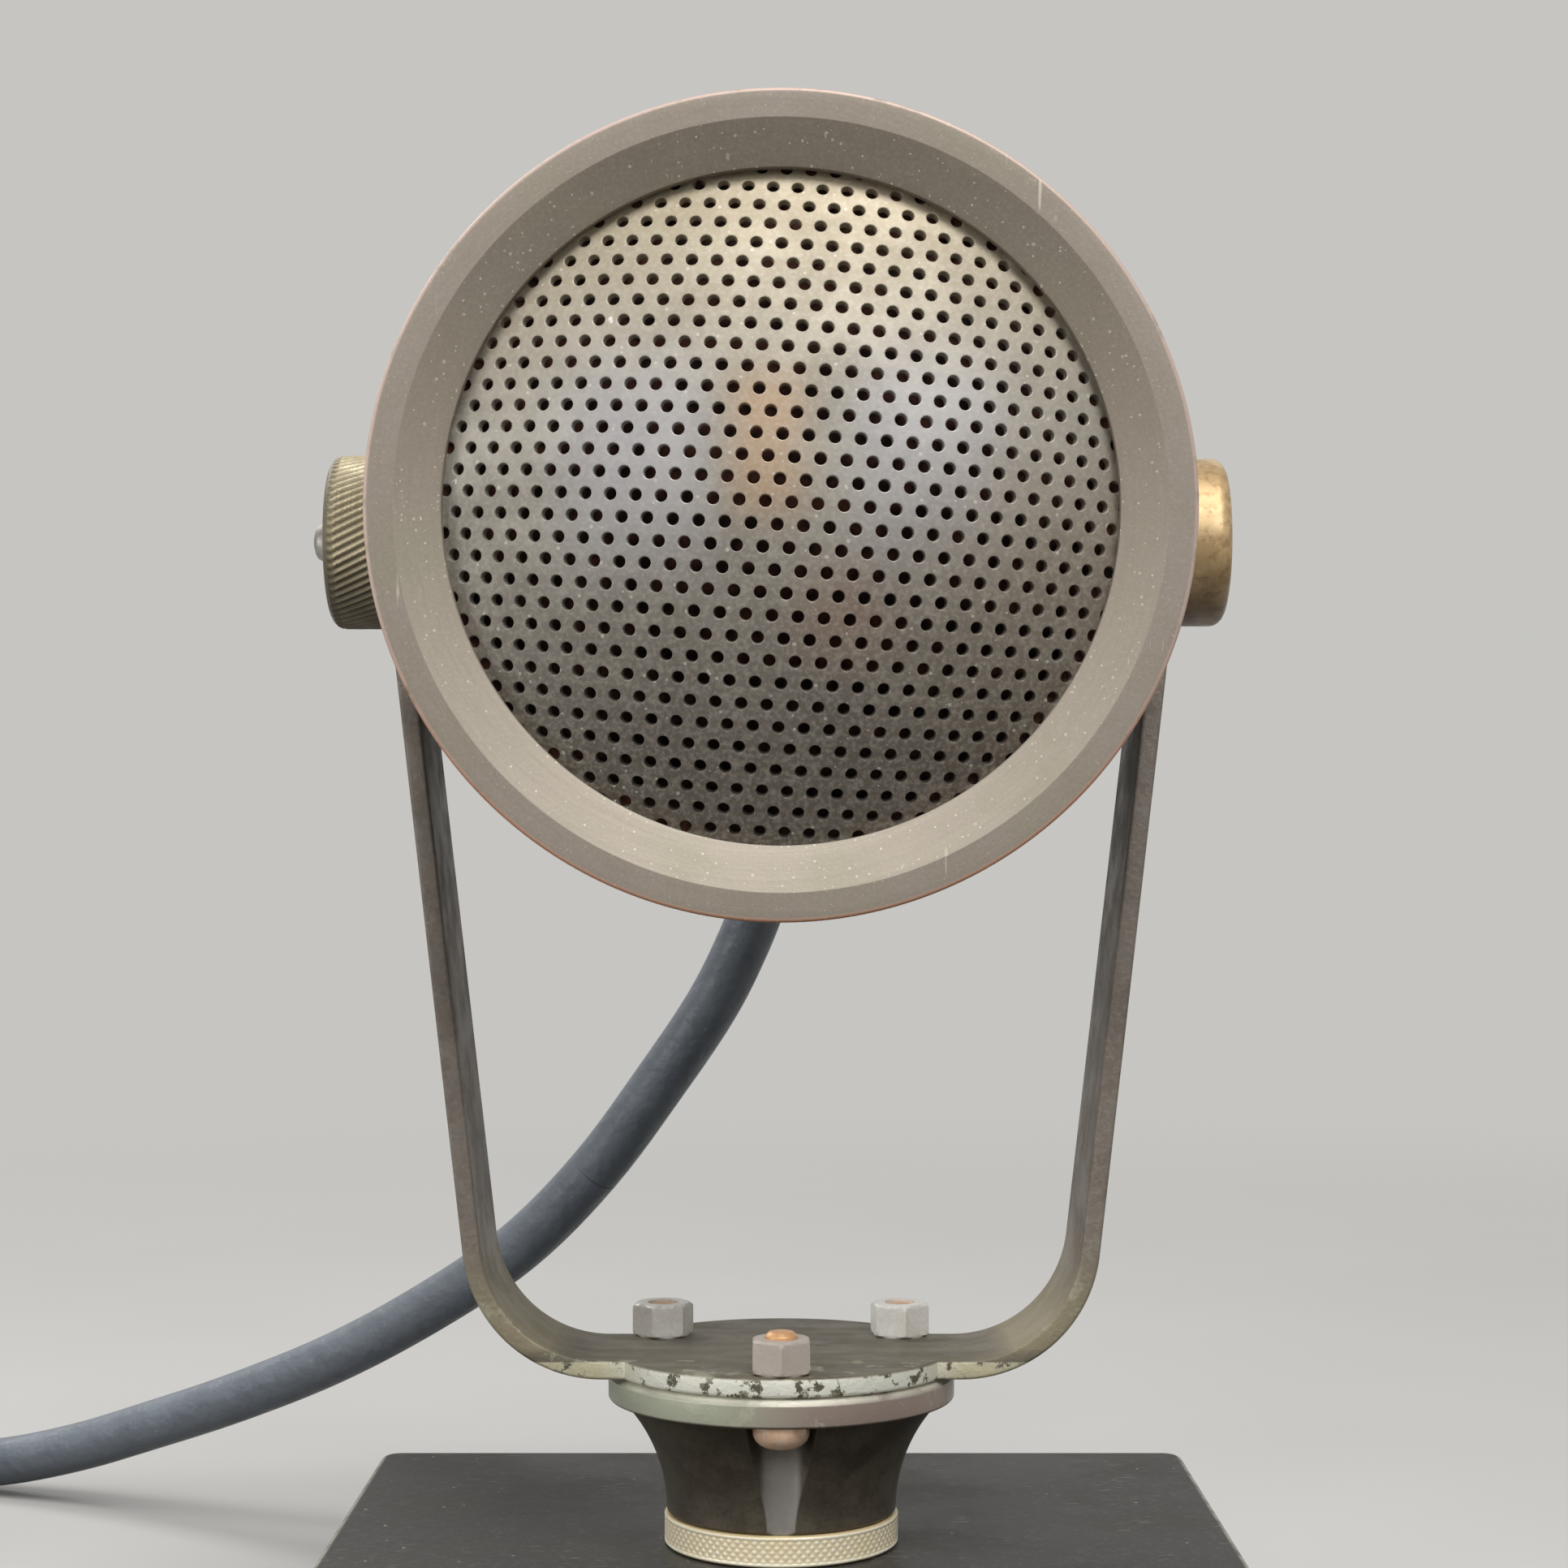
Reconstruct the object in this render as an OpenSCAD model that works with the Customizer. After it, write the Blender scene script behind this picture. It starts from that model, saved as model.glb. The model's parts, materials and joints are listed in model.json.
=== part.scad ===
// Moving-coil studio microphone: a round head that tilts in a bent yoke, on a flared socket
// that turns on the stud of a low black block. Millimetres, +Z up. The grille faces -Y, and the
// origin is the middle of the underside.

/* [Block] */
// Width of the block
block_w = 117; // [100:1:120]
// Depth of the block from front to back
block_depth = 106; // [90:1:112]
// Height of the block without its felt
block_h = 28.5; // [20:0.5:40]
// Radius of the block's upright edges
block_edge_r = 3; // [1:0.5:6]
// Thickness of the felt under the block
felt_t = 1.5; // [1:0.5:3]
// Diameter of the threaded stud in the block
stud_d = 15.8; // [14:0.1:16]

/* [Socket] */
// Diameter of the knurled lock ring
lock_ring_d = 30; // [28:0.5:34]
// Height of the lock ring
lock_ring_h = 3.9; // [3:0.1:5]
// Diameter of the socket's neck, on the lock ring
neck_d = 29.4; // [28:0.1:31]
// Radius of the flare from the neck to the flange
flare_r = 20.8; // [18:0.1:24]
// Diameter of the flange
flange_d = 44.4; // [43:0.1:48]
// Thickness of the flange
flange_t = 3.7; // [2.5:0.1:4]
// Height of the flange's upper face over the block
flange_top_h = 22.4; // [20:0.1:24]

/* [Yoke] */
// Height of the tilt axis over the block
pivot_h = 128.4; // [124:0.1:134]
// Width of the strap
strap_w = 20; // [16:0.5:22]
// Thickness of the strap
strap_t = 2.4; // [2:0.1:3]
// Angle by which each arm leans outwards
arm_lean = 6.6; // [6.2:0.1:7.2]
// Outer radius of the bend between the pad and an arm
bend_r = 17.5; // [15:0.5:19]
// Distance of the bend's centre from the middle
bend_x = 22.6; // [22.4:0.1:23.6]
// Diameter of the round pad
pad_d = 44; // [43:0.5:44.4]
// Diameter of the round eye at the end of an arm
eye_d = 22; // [20:0.5:24]
// Diameter of the circle on which the three bolts stand
bolt_circle_d = 36; // [35:0.5:37]
// Diameter of a bolt's thread
bolt_d = 4; // [3.5:0.1:4.2]
// Diameter of a bolt's cheese head
bolt_head_d = 7.2; // [7:0.1:7.6]
// Width of a nut across its flats
nut_flats = 7; // [6.5:0.1:7.5]
// Height of a nut
nut_h = 4.3; // [3:0.1:4.5]

/* [Front ring] */
// Outer diameter of the knurled front ring
ring_d = 95; // [94:0.5:96]
// Depth of the ring from front to back
ring_depth = 14; // [12:0.5:16]
// Distance of the ring's front face from the tilt axis
ring_reach = 46; // [45:0.5:48]
// Inner diameter of the ring's flat front face
land_d = 88.2; // [86:0.2:90]
// Diameter of the opening over the grille
opening_d = 77.5; // [76:0.5:79]
// Depth of the conical bevel between them
bevel_depth = 1.8; // [1:0.1:2.5]

/* [Grille] */
// Diameter of a hole
hole_d = 1.45; // [1.2:0.05:1.6]
// Distance between neighbouring holes
hole_pitch = 2.94; // [2.6:0.01:3.2]
// Angle by which the rows of holes run down to the right
row_turn = 3.4; // [0:0.1:5]
// Height of the grille's crown
crown = 9.5; // [6:0.5:11]
// Thickness of the grille's sheet
sheet_t = 1; // [0.8:0.1:1.2]

/* [Case] */
// Diameter of the case behind the ring
case_d = 90; // [89:0.5:90]
// Distance of the case's rear edge from the tilt axis
case_back = 13.2; // [12:0.1:15]
// Distance of the rear cover's back from the tilt axis
cover_back = 44; // [42:0.5:48]
// Radius of the rear cover's rounded edge
cover_edge_r = 24; // [20:0.5:24]
// Wall of the rear cover
cover_wall = 3; // [2:0.1:3]

/* [Knobs] */
// Diameter of the knurled left knob
left_knob_d = 22.4; // [20:0.1:24]
// Diameter of the smooth right knob
right_knob_d = 21.6; // [20:0.1:24]
// Distance of the left knob's outer face from the middle
left_knob_reach = 57.8; // [56.5:0.1:58.5]
// Distance of the right knob's outer face from the middle
right_knob_reach = 56.9; // [56.5:0.1:58.5]
// Rounding of a knob's outer edge
knob_edge = 1.7; // [1:0.1:2.5]
// Diameter of the pivot screws
pivot_d = 6; // [5:0.1:6]

/* [Cable] */
// Diameter of the rubber cable
cable_d = 8.5; // [8:0.1:8.5]
// Distance between turns that lie side by side or one on the other
coil_pitch = 9; // [9:0.1:9.2]
// Diameter of the connector's shell
plug_d = 17; // [16:0.1:17]
// Diameter of the connector's coupling ring
plug_ring_d = 19; // [18.6:0.1:19]

/* [Hidden] */

// Smoothness of round surfaces, and of small holes
$fn = 96;
small_fn = 24;

// Clearances: between faces that turn on each other, round a turning fit, round a fixed fit
face_gap = 0.1;
run_gap = 0.05;
fixed_gap = 0.02;

// Heights
block_top = felt_t + block_h;
neck_z = block_top + lock_ring_h + 2 * face_gap;
flange_top_z = block_top + flange_top_h;
flange_low_z = flange_top_z - flange_t;
pad_top_z = flange_top_z + strap_t;
pivot_z = block_top + pivot_h;

// Block: counterbore under it, with the washer and the nut of the stud
counterbore_d = 36;
counterbore_h = 11;
washer_t = 2;
stud_nut_h = 6.5;
stud_rise = 17;

// Yoke: outer faces of an arm, where the leaning part ends and the upright eye begins
bend_z = flange_top_z + bend_r;
lean_from = [bend_x + bend_r * cos(arm_lean), bend_z - bend_r * sin(arm_lean)];
eye_foot_z = pivot_z - 15;
eye_out = lean_from[0] + (eye_foot_z - lean_from[1]) * tan(arm_lean);
eye_in = eye_out - strap_t;
friction_washer_t = 0.6;
boss_x = eye_in - friction_washer_t - face_gap;
boss_d = 18;

// Head: distances along its axis, from the tilt axis, negative to the front
ring_front = -ring_reach;
ring_back = ring_front + ring_depth;
lip_front = ring_front + bevel_depth;
lip_back = lip_front + 1.5;
spigot_r = 43;
rim_r = 42.6;
rim_front = lip_back + face_gap;
rim_back = rim_front + sheet_t;
gauze_back = rim_back + 0.3;
case_front = gauze_back + 0.7;
shelf_front = -30;
shelf_back = -27;
plate_front = shelf_front - 4.5;
surround_back = plate_front - 1.5;
surround_front = surround_back - 0.3;
clamp_front = surround_front - 1.7;
magnet_back = 2;
back_plate_back = 8;
board_front = 22;
board_t = 2;
skirt_back = 20;
gasket_t = 0.8;
cover_front = case_back + gasket_t;
crown_r = (opening_d * opening_d / 4 + crown * crown) / (2 * crown);
pattern_shift = [1.24, -0.39];
// Width of the plain margin between the pattern and the edge of the opening
pattern_margin = 2.25;

// Gland: a point of its axis on the back of the cover, and its slope down to the rear
gland_drop = 8;
gland_slope = 45;
gland_face = 9.5;
gland_tip = 14.5;
nut_tip = 16.8;
sleeve_tip = 36;
gland_dir = [0, cos(gland_slope), -sin(gland_slope)];
gland_foot = [0, cover_back, pivot_z - gland_drop];

// Cable: where it leaves its sleeve, and its route from there to the coil
cable_r = cable_d / 2;
cable_z = 4.3;
cable_start = gland_foot + sleeve_tip * gland_dir;

// Coil: it winds in on the table, climbs in the half turn round mid_turn and winds out on top
coil_centre = [-206, 112];
coil_in_r = 36.25;
coil_turns = 5.25;
mid_turn = 3;
climb_dip = 1.4;
steps_per_turn = 24;
coil_start_angle = 90;
coil_loops = [
    for (i = [0:coil_turns * steps_per_turn])
        let (t = i / steps_per_turn, a = coil_start_angle + 360 * t)
        [coil_centre[0] + coil_r(t) * cos(a), coil_centre[1] + coil_r(t) * sin(a), coil_z(t)]
];
coil_start = coil_loops[0];
coil_end = coil_loops[len(coil_loops) - 1];
run_points = [
    cable_start, cable_start + cable_d * gland_dir,
    [-2.5, 80, 112.5], [-6, 82.5, 103.5], [-11, 85, 93.5], [-19, 88.5, 81.5], [-30, 93.5, 66.5],
    [-43, 100.5, 53], [-59, 109.5, 41.5], [-76, 119, 31.5], [-94, 129.5, 23], [-111, 140, 16],
    [-127, 149, 10], [-143, 156.5, 5.8], [-158, 162.5, 4.4], [-171, 167.5, cable_z],
    [-184, 171.5, cable_z], coil_start + [cable_d, 0, 0]
];

// Connector: where its axis lies and where its parts begin
plug_y = 30.5;
plug_z = plug_ring_d / 2;
plug_x = -203;
plug_back = plug_x + 17;
plug_face = plug_back + 42;
tail_points = [
    coil_end - [0, cable_d, 0], [-262, 90, 13.2], [-263, 77, 11.5], [-259.5, 63, 9.3],
    [-252, 51, 7.8], [-241, 41.5, 7.5], [-228, 35, 8], [-214, 31.5, 9],
    [plug_x, plug_y, plug_z]
];

function unit(v) = v / norm(v);

function path_length(path, i = 1) =
    i < len(path) ? norm(path[i] - path[i - 1]) + path_length(path, i + 1) : 0;

// Radius and height of the coil after a number of turns
function coil_r(t) =
    let (away = abs(t - mid_turn))
    away < 0.25 ? coil_in_r - climb_dip * cos(360 * away) : coil_in_r + coil_pitch * (away - 0.25);
function coil_z(t) = cable_z + coil_pitch * min(1, max(0, 2 * (t - mid_turn) + 0.5));

// Directions of a path at its points, with those of its two ends given
function directions(path, first, last) = [
    for (i = [0:len(path) - 1])
        i == 0 ? unit(first) : i == len(path) - 1 ? unit(last) : unit(path[i + 1] - path[i - 1])
];

// Sideways vectors that are carried along the directions without a twist
function carried(dirs, side) = [
    for (i = 0, s = unit(side - (side * dirs[0]) * dirs[0]);
         i < len(dirs);
         i = i + 1, s = i < len(dirs) ? unit(s - (s * dirs[i]) * dirs[i]) : s) s
];

// A tube of triangles round a path
module tube(path, r, sides, first, last) {
    dirs = directions(path, first, last);
    across = carried(dirs, [0.02, 0.01, 1]);
    n = len(path);
    points = [
        for (i = [0:n - 1], k = [0:sides - 1])
            path[i] + r * (cos(360 * k / sides) * across[i] + sin(360 * k / sides) * cross(dirs[i], across[i]))
    ];
    walls = [
        for (i = [0:n - 2], k = [0:sides - 1], half = [0, 1])
            let (a = i * sides + k, b = i * sides + (k + 1) % sides)
            half == 0 ? [a, b + sides, b] : [a, a + sides, b + sides]
    ];
    front = [for (k = [1:sides - 2]) [0, k, k + 1]];
    back = [for (k = [1:sides - 2]) [(n - 1) * sides, (n - 1) * sides + k + 1, (n - 1) * sides + k]];
    polyhedron(points, concat(walls, front, back));
}

// A solid of revolution about the upright axis, from [radius, height] points
module upright(points) {
    rotate_extrude() polygon(points);
}

// A solid of revolution about the head's axis, from [radius, distance to the back] points
module turned(points) {
    translate([0, 0, pivot_z]) rotate([-90, 0, 0]) rotate_extrude() polygon(points);
}

// A round bar along the head's axis, or beside it
module bar_y(r, from, to, x = 0, z = 0) {
    translate([x, from, pivot_z + z]) rotate([-90, 0, 0]) cylinder(r = r, h = to - from);
}

// A cap of a spherical shell that bulges to the front, cut off at radius edge_r
module dome(r, t, front, edge_r, back) {
    intersection() {
        translate([0, front + r, pivot_z]) difference() {
            sphere(r = r, $fn = 360);
            sphere(r = r - t, $fn = 360);
        }
        bar_y(edge_r, front - 1, back);
    }
}

// A solid of revolution about the tilt axis, on the left (side -1) or on the right (side 1)
module sideways(side, points) {
    translate([0, 0, pivot_z]) rotate([0, 90 * side, 0]) rotate_extrude() polygon(points);
}

// A solid of revolution about the gland's axis, from [radius, distance] points
module on_gland(points) {
    translate(gland_foot) rotate([-90 - gland_slope, 0, 0]) rotate_extrude() polygon(points);
}

// A solid of revolution about the connector's axis, from [radius, x] points
module on_plug(points) {
    translate([0, plug_y, plug_z]) rotate([0, 90, 0]) rotate_extrude() polygon(points);
}

// A plate with rounded upright edges
module rounded_plate(w, depth, r, low, high) {
    h = high - low;
    translate([-w / 2, r - depth / 2, low]) cube([w, depth - 2 * r, h]);
    translate([r - w / 2, -depth / 2, low]) cube([w - 2 * r, depth, h]);
    for (x = [-1, 1], y = [-1, 1])
        translate([x * (w / 2 - r), y * (depth / 2 - r), low]) cylinder(r = r, h = h);
}

module base_block() {
    color("#17181a") difference() {
        rounded_plate(block_w, block_depth, block_edge_r, felt_t, block_top);
        translate([0, 0, felt_t - 1]) cylinder(d = counterbore_d, h = counterbore_h + 1);
        cylinder(d = stud_d + 2 * fixed_gap, h = block_top + 1);
    }
}

module base_felt() {
    color("#23262a") rounded_plate(block_w - 4, block_depth - 4, block_edge_r, 0, felt_t);
}

module stand_stud() {
    color("#8f8d88") upright([
        [0, felt_t + 1.5], [stud_d / 2 - 1, felt_t + 1.5], [stud_d / 2, felt_t + 2.5],
        [stud_d / 2, block_top + stud_rise - 1], [stud_d / 2 - 1, block_top + stud_rise],
        [0, block_top + stud_rise]
    ]);
}

module stud_washer() {
    top = felt_t + counterbore_h;
    color("#9a9994") upright([
        [stud_d / 2 + 0.2, top - washer_t], [15, top - washer_t], [15, top], [stud_d / 2 + 0.2, top]
    ]);
}

module stud_nut() {
    top = felt_t + counterbore_h - washer_t;
    color("#8d8c88") difference() {
        translate([0, 0, top - stud_nut_h]) cylinder(d = 28, h = stud_nut_h, $fn = 6);
        translate([0, 0, top - stud_nut_h - 1]) cylinder(d = stud_d + 2 * fixed_gap, h = stud_nut_h + 2);
    }
}

module lock_ring() {
    low = block_top + face_gap;
    high = low + lock_ring_h;
    edge = 0.4;
    color("#d9b25a") upright([
        [stud_d / 2 + run_gap, low], [lock_ring_d / 2 - edge, low], [lock_ring_d / 2, low + edge],
        [lock_ring_d / 2, high - edge], [lock_ring_d / 2 - edge, high], [stud_d / 2 + run_gap, high]
    ]);
}

module at_bolts() {
    for (turn = [-90, 30, 150]) rotate(turn) translate([bolt_circle_d / 2, 0, 0]) children();
}

module flared_socket() {
    flare_end = asin((flange_low_z - neck_z) / flare_r);
    edge = 0.9;
    color("#2a2a26") difference() {
        upright(concat(
            [[0, neck_z]],
            [for (a = [0:flare_end / 10:flare_end + 0.01])
                [neck_d / 2 + flare_r * (1 - cos(a)), neck_z + flare_r * sin(a)]],
            [[flange_d / 2, flange_low_z], [flange_d / 2, flange_top_z - edge],
             [flange_d / 2 - edge, flange_top_z], [0, flange_top_z]]
        ));
        translate([0, 0, neck_z - 1])
            cylinder(r = stud_d / 2 + run_gap, h = block_top + stud_rise + 2 - neck_z);
        at_bolts() {
            translate([0, 0, neck_z - 1]) cylinder(d = bolt_head_d + 0.3, h = flange_low_z - neck_z + 1);
            translate([0, 0, flange_low_z - 1]) cylinder(d = bolt_d + 0.1, h = flange_t + 2);
        }
    }
}

// Right half of the strap, seen from the front
module half_strap() {
    function outline(offset) = concat(
        [[0, flange_top_z + offset]],
        [for (a = [-90:6:-arm_lean])
            [bend_x + (bend_r - offset) * cos(a), bend_z + (bend_r - offset) * sin(a)]],
        [[bend_x + (bend_r - offset) * cos(arm_lean), bend_z - (bend_r - offset) * sin(arm_lean)],
         [eye_out - offset, eye_foot_z], [eye_out - offset, pivot_z]]
    );
    outer = outline(0);
    inner = outline(strap_t);
    rotate([90, 0, 0]) linear_extrude(strap_w, center = true)
        polygon(concat(outer, [for (i = [len(inner) - 1:-1:0]) inner[i]]));
}

module yoke_strap() {
    color("#6a5f4c") difference() {
        union() {
            half_strap();
            mirror([1, 0, 0]) half_strap();
            translate([0, 0, flange_top_z]) cylinder(d = pad_d, h = strap_t);
            for (side = [-1, 1])
                sideways(side, [[0, eye_in], [eye_d / 2, eye_in], [eye_d / 2, eye_out], [0, eye_out]]);
        }
        for (side = [-1, 1])
            sideways(side, [[0, eye_in - 1], [pivot_d / 2 + run_gap, eye_in - 1],
                            [pivot_d / 2 + run_gap, eye_out + 1], [0, eye_out + 1]]);
        at_bolts() translate([0, 0, flange_top_z - 1]) cylinder(d = bolt_d + 0.1, h = strap_t + 2);
    }
}

// The front bolt's end stands out of its nut, and the other two end just inside theirs
module yoke_bolts() {
    head_h = 2.8;
    points = [1.3, -0.3, -0.3];
    color("#a98468") for (i = [0:2])
        rotate(120 * i - 90) translate([bolt_circle_d / 2, 0, flange_low_z]) {
            translate([0, 0, -head_h]) cylinder(d = bolt_head_d, h = head_h);
            translate([0, 0, -1]) cylinder(d = bolt_d, h = pad_top_z + nut_h + points[i] - flange_low_z + 1);
        }
}

module yoke_nuts() {
    nut_turns = [1, 9, -18];
    color("#b9b6ac") for (i = [0:2])
        rotate(120 * i - 90) translate([bolt_circle_d / 2, 0, pad_top_z]) difference() {
            rotate(nut_turns[i]) cylinder(d = nut_flats / cos(30), h = nut_h, $fn = 6);
            translate([0, 0, -1]) cylinder(d = bolt_d + 2 * fixed_gap, h = nut_h + 2);
        }
}

module friction_washer(side) {
    color("#5b3a22") sideways(side, [
        [pivot_d / 2 + run_gap, eye_in - friction_washer_t], [boss_d / 2, eye_in - friction_washer_t],
        [boss_d / 2, eye_in], [pivot_d / 2 + run_gap, eye_in]
    ]);
}

module left_friction_washer() {
    friction_washer(-1);
}

module right_friction_washer() {
    friction_washer(1);
}

// A clamp knob with a neck, a stepped back and a rounded outer edge
module knob(side, d, reach) {
    back = eye_out + 2 * face_gap;
    neck = back + 1;
    bore = pivot_d / 2 + run_gap;
    r = d / 2;
    sideways(side, concat(
        [[bore, back], [7, back], [7, neck], [r - 0.5, neck], [r, neck + 0.5]],
        [for (a = [0:15:90]) [r - knob_edge + knob_edge * cos(a), reach - knob_edge + knob_edge * sin(a)]],
        [[bore, reach]]
    ));
}

module left_knob() {
    color("#7b6b4f") knob(-1, left_knob_d, left_knob_reach);
}

module right_knob() {
    color("#9a7b48") knob(1, right_knob_d, right_knob_reach);
}

// A pivot screw from inside the case to its end, which may be domed by the given height
module pivot_screw(side, tip, dome_h) {
    r = pivot_d / 2;
    sideways(side, concat(
        [[0, boss_x - 6], [r, boss_x - 6], [r, tip - dome_h - 1], [r - 0.7, tip - dome_h]],
        dome_h > 0 ? [for (a = [30:15:75]) [(r - 0.7) * cos(a), tip - dome_h + dome_h * sin(a)]] : [],
        [[0, tip]]
    ));
}

module left_pivot_screw() {
    color("#8c8577") pivot_screw(-1, left_knob_reach + 2.5, 0.9);
}

module right_pivot_screw() {
    color("#8c8577") pivot_screw(1, right_knob_reach - 1, 0);
}

module front_ring() {
    r = ring_d / 2;
    edge = 0.6;
    color("#75685c") turned([
        [land_d / 2, ring_front], [r - edge, ring_front], [r, ring_front + edge], [r, ring_back - edge],
        [r - edge, ring_back], [spigot_r + run_gap, ring_back], [spigot_r + run_gap, lip_back],
        [opening_d / 2, lip_back], [opening_d / 2, lip_front]
    ]);
}

// Length by which a hole's cutter stands out of the sheet on each side
cut_over = 0.7;

// Places of the grille's holes on the flat sheet, staggered in rows
function hole_places(reach) = [
    for (row = [-20:20], i = [-20:20])
        let (place = [(i + (row % 2 == 0 ? 0 : 0.5)) * hole_pitch, row * hole_pitch * sin(60)] + pattern_shift)
        if (norm(place) < reach) place
];

// The sheet is perforated flat and then domed: a place on it becomes an angle at the dome's centre
module at_holes() {
    translate([0, rim_front - crown + crown_r, pivot_z]) rotate([90, 0, 0]) rotate(-row_turn)
        for (place = hole_places(opening_d / 2 - pattern_margin))
            rotate([0, norm(place) / crown_r * 180 / PI, atan2(place[1], place[0])])
                translate([0, 0, crown_r - sheet_t - cut_over]) children();
}

module grille() {
    color("#5f5a50") difference() {
        union() {
            dome(crown_r, sheet_t, rim_front - crown, opening_d / 2, rim_back);
            turned([[opening_d / 2 - 0.5, rim_front], [rim_r, rim_front], [rim_r, rim_back],
                    [opening_d / 2 - 0.5, rim_back]]);
        }
        at_holes() cylinder(d = hole_d, h = sheet_t + 2 * cut_over, $fn = 16);
    }
}

module gauze() {
    color("#2d2a27") bar_y(rim_r, rim_back, gauze_back);
}

module grille_gasket() {
    color("#1d1c1b") turned([[39.5, gauze_back], [rim_r, gauze_back], [rim_r, case_front], [39.5, case_front]]);
}

module body_shell() {
    color("#1b1b1c") difference() {
        union() {
            turned([
                [spigot_r, case_front], [spigot_r, ring_back + 2 * face_gap],
                [case_d / 2, ring_back + 2 * face_gap], [case_d / 2, case_back], [41.9, case_back],
                [41.9, skirt_back], [39, skirt_back], [39, shelf_back], [26, shelf_back],
                [26, shelf_front], [40, shelf_front], [40, case_front]
            ]);
            for (side = [-1, 1])
                sideways(side, [[0, 39.5], [boss_d / 2, 39.5], [boss_d / 2, boss_x], [0, boss_x]]);
        }
        for (side = [-1, 1])
            sideways(side, [[0, 30], [pivot_d / 2 + fixed_gap, 30],
                            [pivot_d / 2 + fixed_gap, boss_x + 1], [0, boss_x + 1]]);
        at_capsule_screws() bar_y(1.5 + fixed_gap, shelf_front - 1, shelf_back + 1);
        at_cover_screws() cylinder(r = 1.25 + fixed_gap, h = 10);
    }
}

// Outline of the rear cover, drawn in by a wall, from the given front edge
function cover_outline(wall, front) = concat(
    [[0, front], [case_d / 2 - wall, front]],
    [for (a = [0:9:90])
        [case_d / 2 - cover_edge_r + (cover_edge_r - wall) * cos(a),
         cover_back - cover_edge_r + (cover_edge_r - wall) * sin(a)]],
    [[0, cover_back - wall]]
);

module rear_cover() {
    color("#1b1b1c") difference() {
        union() {
            turned(cover_outline(0, cover_front));
            on_gland([[0, -12], [8.5, -12], [8.5, gland_face], [0, gland_face]]);
        }
        turned(cover_outline(cover_wall, cover_front - 1));
        on_gland([[0, -20], [6 + fixed_gap, -20], [6 + fixed_gap, gland_face + 1], [0, gland_face + 1]]);
        at_cover_screws() {
            cylinder(r = 1.35, h = 10);
            translate([0, 0, 2.6]) cylinder(r = 2.4, h = 10);
        }
    }
}

module cover_gasket() {
    color("#1d1c1b") turned([[42, case_back], [case_d / 2 - 0.5, case_back], [case_d / 2 - 0.5, cover_front],
                             [42, cover_front]]);
}

// Four radial screws hold the rear cover's skirt: their frame starts at the case's inner radius
module at_cover_screws() {
    for (turn = [45:90:315])
        translate([0, (cover_front + skirt_back) / 2, pivot_z]) rotate([0, turn, 0])
            translate([0, 0, 40.2]) children();
}

module cover_screws() {
    color("#7d7a72") at_cover_screws() {
        cylinder(r = 1.25, h = 3);
        translate([0, 0, 2.7]) cylinder(r = 2.3, h = 1.9);
    }
}

module pole_plate() {
    color("#8b8a88") difference() {
        turned([[17.2, plate_front], [33, plate_front], [33, shelf_front], [17.2, shelf_front]]);
        at_capsule_screws() bar_y(1.6, plate_front - 1, shelf_front + 1);
        at_clamp_screws() bar_y(0.8 + fixed_gap, plate_front - 1, plate_front + 2.5);
    }
}

module magnet() {
    color("#5f6266") turned([[20, shelf_front], [25.5, shelf_front], [25.5, magnet_back], [20, magnet_back]]);
}

module back_plate() {
    color("#8b8a88") difference() {
        turned([[4, magnet_back], [25.5, magnet_back], [25.5, back_plate_back], [4, back_plate_back]]);
        at_posts() bar_y(1.5 + fixed_gap, back_plate_back - 3, back_plate_back + 1);
    }
}

module pole_piece() {
    color("#9b9a98") turned([[4, plate_front], [15.2, plate_front], [15.2, magnet_back], [4, magnet_back]]);
}

module damping_pad() {
    color("#6d5a42") turned([[4.5, plate_front - 0.6], [14.5, plate_front - 0.6], [14.5, plate_front],
                             [4.5, plate_front]]);
}

module acoustic_tube() {
    color("#c7a457") turned([[2.8, -6], [3.95, -6], [3.95, 18], [2.8, 18]]);
}

module diaphragm() {
    edge_r = 16.5;
    rise = 3.5;
    r = (edge_r * edge_r + rise * rise) / (2 * rise);
    color("#c9ccd0") {
        dome(r, 0.3, surround_front - rise, edge_r + 0.1, surround_front + 0.15);
        turned([[edge_r - 0.3, surround_front], [17.6, surround_front], [17.6, surround_back],
                [edge_r - 0.3, surround_back]]);
    }
}

module voice_coil() {
    color("#b5713a") turned([[15.7, surround_back], [16.7, surround_back], [16.7, shelf_front - 1],
                             [15.7, shelf_front - 1]]);
}

module surround() {
    color("#c9ccd0") difference() {
        turned([[17.9, surround_front], [24.5, surround_front], [24.5, surround_back], [17.9, surround_back]]);
        at_clamp_screws() bar_y(0.9, surround_front - 1, surround_back + 1);
    }
}

module diaphragm_seat() {
    color("#c2a05a") difference() {
        turned([[21, surround_back], [24.5, surround_back], [24.5, plate_front], [21, plate_front]]);
        at_clamp_screws() bar_y(0.9, surround_back - 1, plate_front + 1);
    }
}

module diaphragm_clamp() {
    color("#c2a05a") difference() {
        turned([[21, clamp_front], [24.5, clamp_front], [24.5, surround_front], [21, surround_front]]);
        at_clamp_screws() bar_y(0.9, clamp_front - 1, surround_front + 1);
    }
}

module at_clamp_screws() {
    for (turn = [30:60:330])
        translate([22.75 * cos(turn), 0, 22.75 * sin(turn)]) children();
}

module clamp_screws() {
    color("#a9a7a0") at_clamp_screws() {
        bar_y(1.5, clamp_front - 1, clamp_front);
        bar_y(0.8, clamp_front - 0.5, plate_front + 2);
    }
}

module at_capsule_screws() {
    for (turn = [90, 210, 330])
        translate([29.5 * cos(turn), 0, 29.5 * sin(turn)]) children();
}

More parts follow.
